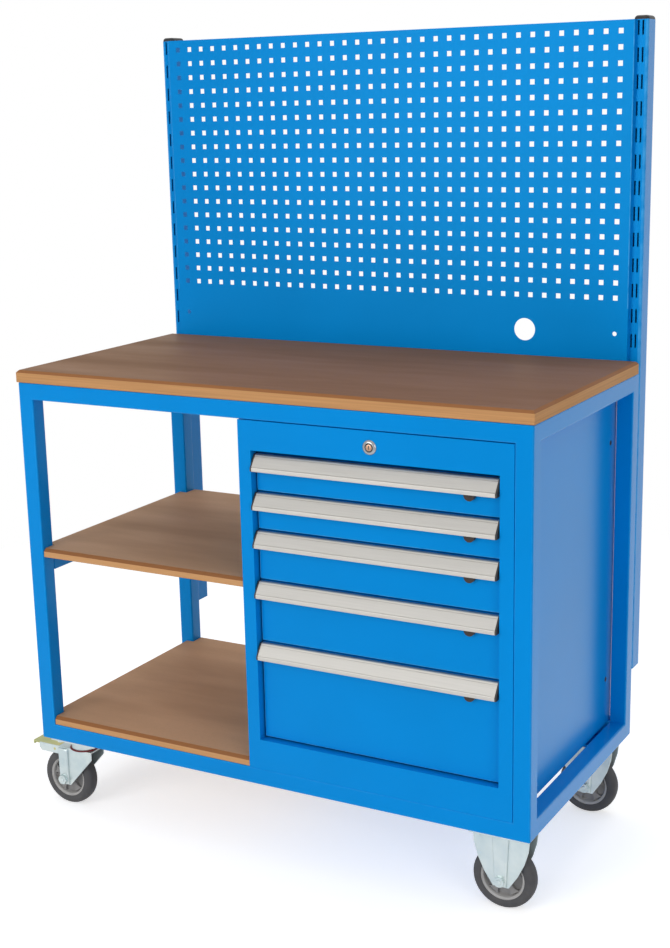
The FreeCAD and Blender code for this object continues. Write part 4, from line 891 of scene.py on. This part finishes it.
class WORKBENCH_OT_wheels(bpy.types.Operator):
    """Turn the tyres and the spoked wheel discs"""
    bl_idname = "workbench.wheels"
    bl_label = "Wheels"

    def execute(self, context):
        half_tyre = [(14.6, 44.0), (15.3, 45.4), (15.3, 47.2), (15.7, 48.4), (16.0, 51.5), (15.5, 54.6),
                     (14.0, 57.6), (11.6, 60.1), (8.6, 61.6), (4.6, 62.3)]
        half_ring = [(2.5, 37.6), (9.5, 38.4), (12.4, 39.6), (13.0, 40.4), (13.4, 42.0), (14.2, 42.6),
                     (14.2, 43.9)]
        half_hub = [(20.0, 5.2), (20.0, 9.0), (19.2, 9.6), (19.2, 14.5), (18.2, 16.4), (15.0, 17.2),
                    (3.0, 18.6)]
        half_web = [(3.0, 17.5), (3.0, 38.6)]
        tread = (0.0, 62.5)
        segments = 96
        for label in WHEELS:
            lay = across(centre_of(f"tyre_{label}"))
            body = BODY_OF[f"tyre_{label}"]
            tyre, ring = mirrored(half_tyre, [tread]), mirrored(half_ring)
            made = turned_piece(f"tyre_{label}_moulded", tyre, lay, segments, "tyre_rubber", body)
            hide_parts(f"tyre_{label}")
            turned_piece(f"wheel_ring_{label}", ring, lay, segments, "ring_plastic", body)
            bm = bmesh.new()
            lathe(bm, mirrored(half_hub), lay, segments)
            lathe(bm, mirrored(half_web), lay, segments)
            self.spokes(bm, lay)
            made = piece_from(bm, f"wheel_disc_{label}", "grey_plastic", body)
            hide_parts(f"wheel_rim_{label}")
        return {"FINISHED"}

    def spokes(self, bm, lay):
        """Broad spokes between hub and ring, each a prism with waisted sides."""
        count, first_turn, half_thickness = 5, 0.35, 9.0
        stations = ((18.0, 17.0), (22.0, 13.0), (28.0, 11.0), (34.0, 13.0), (38.2, 17.5))
        for spoke in range(count):
            middle = 2 * math.pi * spoke / count + first_turn
            outline = []
            for side in (-1, 1):
                row = []
                for radius, spread in stations:
                    turn = middle + side * math.radians(spread)
                    row.append((radius * math.cos(turn), radius * math.sin(turn)))
                outline += row if side < 0 else row[::-1]
            extrude_outline(bm, outline, lambda one, two, along: lay(along, one, two),
                            -half_thickness, half_thickness)


class WORKBENCH_OT_forks(bpy.types.Operator):
    """Dress the forks, with their pressed ribs, dust seals and brake pedals"""
    bl_idname = "workbench.forks"
    bl_label = "Forks"

    def execute(self, context):
        trim = context.scene.workbench_trim
        softened("fixed_forks", trim.small_edge, "zinc_steel")
        dress("swivel_plates", "zinc_steel")
        for end in ENDS:
            softened(f"swivel_fork_{end}", trim.small_edge, "zinc_steel")
            softened(f"brake_pedal_{end}", trim.small_edge, "yellow_zinc")
            fixed, swivel = centre_of(f"tyre_right_{end}"), centre_of(f"tyre_left_{end}")
            body = f"swivel_{end}"
            height = trim.rib_height
            self.ribs(f"fixed_rib_{end}", fixed, "bench", height, half_top=17.0 * MM, top=156.0 * MM)
            self.ribs(f"swivel_rib_{end}", swivel, body, height, half_top=12.5 * MM, top=133.0 * MM)
            self.nuts(f"fixed_nuts_{end}", fixed, "bench")
            self.nuts(f"swivel_nuts_{end}", swivel, body)
            self.seal(end)
        return {"FINISHED"}

    def ribs(self, name, centre, body, height, half_top, top):
        """A raised channel down the outside of both cheeks, narrower at the axle."""
        cheek, half_foot, below_axle, rounding = 23.3 * MM, 12 * MM, 12 * MM, 3.6 * MM
        foot = centre.z - below_axle
        outline = [(centre.x - half_top, top), (centre.x - half_foot, foot),
                   (centre.x + half_foot, foot), (centre.x + half_top, top)]
        bm = bmesh.new()
        for side in (-1, 1):
            base = centre.y + side * cheek
            start = len(bm.verts)
            extrude_outline(bm, outline, lambda one, two, along: (one, base + side * along, two), 0.0, height)
            bm.verts.ensure_lookup_table()
            fresh = set(bm.verts[start:])
            edges = [edge for edge in bm.edges if set(edge.verts) <= fresh
                     and all(abs(vert.co.y - base) > height / 2 for vert in edge.verts)]
            round_edges(bm, edges, rounding, CORNER_SEGMENTS)
        piece_from(bm, name, "zinc_steel", body)

    def nuts(self, name, centre, body):
        """A washer, a chamfered hexagon and a bolt end at both ends of the axle."""
        half_flats, chamfer = 9.5, 9.7
        washer = [(27.6, 5.2), (27.6, 11.6), (28.9, 11.9), (29.2, 11.4), (29.2, 5.2)]
        bolt_end = [(27.6, 0.05), (27.6, 5.1), (35.2, 5.1), (36.0, 4.3), (36.0, 0.05)]
        lay = across(centre)

        def hexagon(turn):
            """Section of a hexagon nut with chamfered corners."""
            corner = half_flats / math.cos(turn % (math.pi / 3) - math.pi / 6)
            return [(29.1, 5.2), (29.1, corner), (33.6, corner), (34.6, min(corner, chamfer)), (34.6, 5.2)]
        bm = bmesh.new()
        for side in (-1, 1):
            for section in (washer, hexagon, bolt_end):
                lathe(bm, section, lambda along, one, two: lay(side * along, one, two), segments=48)
        piece_from(bm, name, "zinc_steel", body)

    def seal(self, end):
        """The dark red ring that closes the swivel bearing."""
        fork_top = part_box(f"swivel_fork_{end}")[1].z
        wheel = centre_of(f"tyre_left_{end}")
        lay = upright_axis(Vector((wheel.x + SWIVEL_TRAIL, wheel.y, fork_top)))
        section = [(0.7, 29.2), (0.7, 32.4), (1.6, 32.8), (2.8, 32.0), (3.4, 30.6), (3.4, 29.2)]
        turned_piece(f"dust_seal_{end}", section, lay, 72, "seal_rubber", "bench")


class WORKBENCH_OT_stage(bpy.types.Operator):
    """Set up the floor, the soft lamps and the camera"""
    bl_idname = "workbench.stage"
    bl_label = "Stage"

    def execute(self, context):
        stage = context.scene.workbench_stage
        context.scene.view_settings.view_transform = "Standard"
        self.floor(stage)
        self.world(context, stage)
        self.lamp("key_lamp", stage.key, size=3.0, place=(-1.6, -4.8, 2.0), target=(0.0, 0.0, 0.7))
        self.lamp("side_lamp", stage.side, size=2.0, place=(3.4, -2.6, 1.7), target=(0.0, 0.0, 0.7))
        self.lamp("top_lamp", stage.top, size=3.0, place=(0.2, 0.9, 4.4), target=(0.0, 0.2, 0.6))
        self.camera(context, stage)
        return {"FINISHED"}

    def floor(self, stage):
        """A wide flat floor."""
        bm = bmesh.new()
        bmesh.ops.create_grid(bm, x_segments=4, y_segments=4, size=stage.floor_reach)
        floor = object_from(bm, "studio_floor")
        floor.data.materials.append(self.floor_finish(stage))

    def floor_finish(self, stage):
        """Matt with a white glow near the bench; further out it is the plain white background."""
        fade_from, fade_to = 1.1, 2.4
        material = bpy.data.materials.new("studio_floor")
        tree = self.empty_tree(material)
        seen = self.seen_rays(tree)
        matt = add(tree, "ShaderNodeBsdfDiffuse", {"Color": stage.floor})
        brightness = product(tree, seen, stage.floor_glow)
        glow = add(tree, "ShaderNodeEmission", {"Color": WHITE, "Strength": brightness})
        near = add(tree, "ShaderNodeAddShader", {0: matt.outputs["BSDF"], 1: glow.outputs["Emission"]})
        place = add(tree, "ShaderNodeTexCoord").outputs["Object"]
        far = add(tree, "ShaderNodeVectorMath", {0: place}, operation="LENGTH").outputs["Value"]
        fade = product(tree, spread_of(tree, far, low=fade_from, high=fade_to), seen)
        white = add(tree, "ShaderNodeEmission", {"Color": WHITE, "Strength": 1.0})
        surface = self.blend(tree, fade, near.outputs["Shader"], white.outputs["Emission"])
        add(tree, "ShaderNodeOutputMaterial", {"Surface": surface})
        return material

    def world(self, context, stage):
        """White where it is seen, and an even fill light for the rest."""
        world = bpy.data.worlds.new("studio_world")
        context.scene.world = world
        tree = self.empty_tree(world)
        fill = add(tree, "ShaderNodeBackground", {"Color": WHITE, "Strength": stage.fill})
        white = add(tree, "ShaderNodeBackground", {"Color": WHITE, "Strength": 1.0})
        seen = self.seen_rays(tree)
        surface = self.blend(tree, seen, fill.outputs["Background"], white.outputs["Background"])
        add(tree, "ShaderNodeOutputWorld", {"Surface": surface})

    def empty_tree(self, owner):
        """The node tree of a material or world, with nothing in it."""
        owner.use_nodes = True
        owner.node_tree.nodes.clear()
        return owner.node_tree

    def blend(self, tree, factor, first, second):
        """Two shaders blended by a factor."""
        return add(tree, "ShaderNodeMixShader", {"Fac": factor, 1: first, 2: second}).outputs["Shader"]

    def seen_rays(self, tree):
        """One for rays that show the background: straight, mirrored or through glass."""
        rays = add(tree, "ShaderNodeLightPath").outputs
        seen = worked_out(tree, "MAXIMUM", rays["Is Camera Ray"], rays["Is Glossy Ray"])
        return worked_out(tree, "MAXIMUM", seen, rays["Is Transmission Ray"])

    def lamp(self, name, watts, size, place, target):
        """A square soft lamp aimed at a target."""
        lamp = bpy.data.lights.new(name, "AREA")
        lamp.energy = watts
        lamp.size = size
        thing = bpy.data.objects.new(name, lamp)
        thing.location = place
        aim = Vector(target) - Vector(place)
        thing.rotation_euler = aim.to_track_quat("-Z", "Y").to_euler()
        bpy.context.scene.collection.objects.link(thing)

    def camera(self, context, stage):
        """The camera of the photo: set level, looking along Y, then turned by yaw, pitch and roll."""
        level = math.radians(90)
        turned = (Matrix.Rotation(stage.yaw, 4, "Z") @ Matrix.Rotation(level + stage.pitch, 4, "X")
                  @ Matrix.Rotation(-stage.roll, 4, "Z"))
        eye = bpy.data.cameras.new("photo_camera")
        eye.lens = stage.lens
        eye.sensor_width = 36.0
        eye.shift_x, eye.shift_y = stage.shift_x, stage.shift_y
        thing = bpy.data.objects.new("photo_camera", eye)
        thing.matrix_world = Matrix.Translation(stage.camera_place) @ turned
        context.scene.collection.objects.link(thing)
        context.scene.camera = thing


OPERATORS = (WORKBENCH_OT_frame, WORKBENCH_OT_boards, WORKBENCH_OT_back_wall, WORKBENCH_OT_cabinet,
             WORKBENCH_OT_drawers, WORKBENCH_OT_wheels, WORKBENCH_OT_forks, WORKBENCH_OT_stage)


class WORKBENCH_PT_panel(bpy.types.Panel):
    """Lists the steps that dress the workbench"""
    bl_idname = "WORKBENCH_PT_panel"
    bl_label = "Workbench"
    bl_space_type = "VIEW_3D"
    bl_region_type = "UI"
    bl_category = "Workbench"

    def draw(self, context):
        for operator in OPERATORS:
            self.layout.operator(operator.bl_idname)


SETTINGS = {
    "workbench_finishes": WorkbenchFinishes,
    "workbench_trim": WorkbenchTrim,
    "workbench_stage": WorkbenchStage,
}


def register():
    for group in (*SETTINGS.values(), *OPERATORS, WORKBENCH_PT_panel):
        bpy.utils.register_class(group)
    for name, group in SETTINGS.items():
        setattr(bpy.types.Scene, name, bpy.props.PointerProperty(type=group))


def unregister():
    for name in SETTINGS:
        delattr(bpy.types.Scene, name)
    for group in reversed((*SETTINGS.values(), *OPERATORS, WORKBENCH_PT_panel)):
        bpy.utils.unregister_class(group)


def main():
    register()
    bpy.ops.workbench.frame()
    bpy.ops.workbench.boards()
    bpy.ops.workbench.back_wall()
    bpy.ops.workbench.cabinet()
    bpy.ops.workbench.drawers()
    bpy.ops.workbench.wheels()
    bpy.ops.workbench.forks()
    bpy.ops.workbench.stage()


if __name__ == "__main__":
    main()
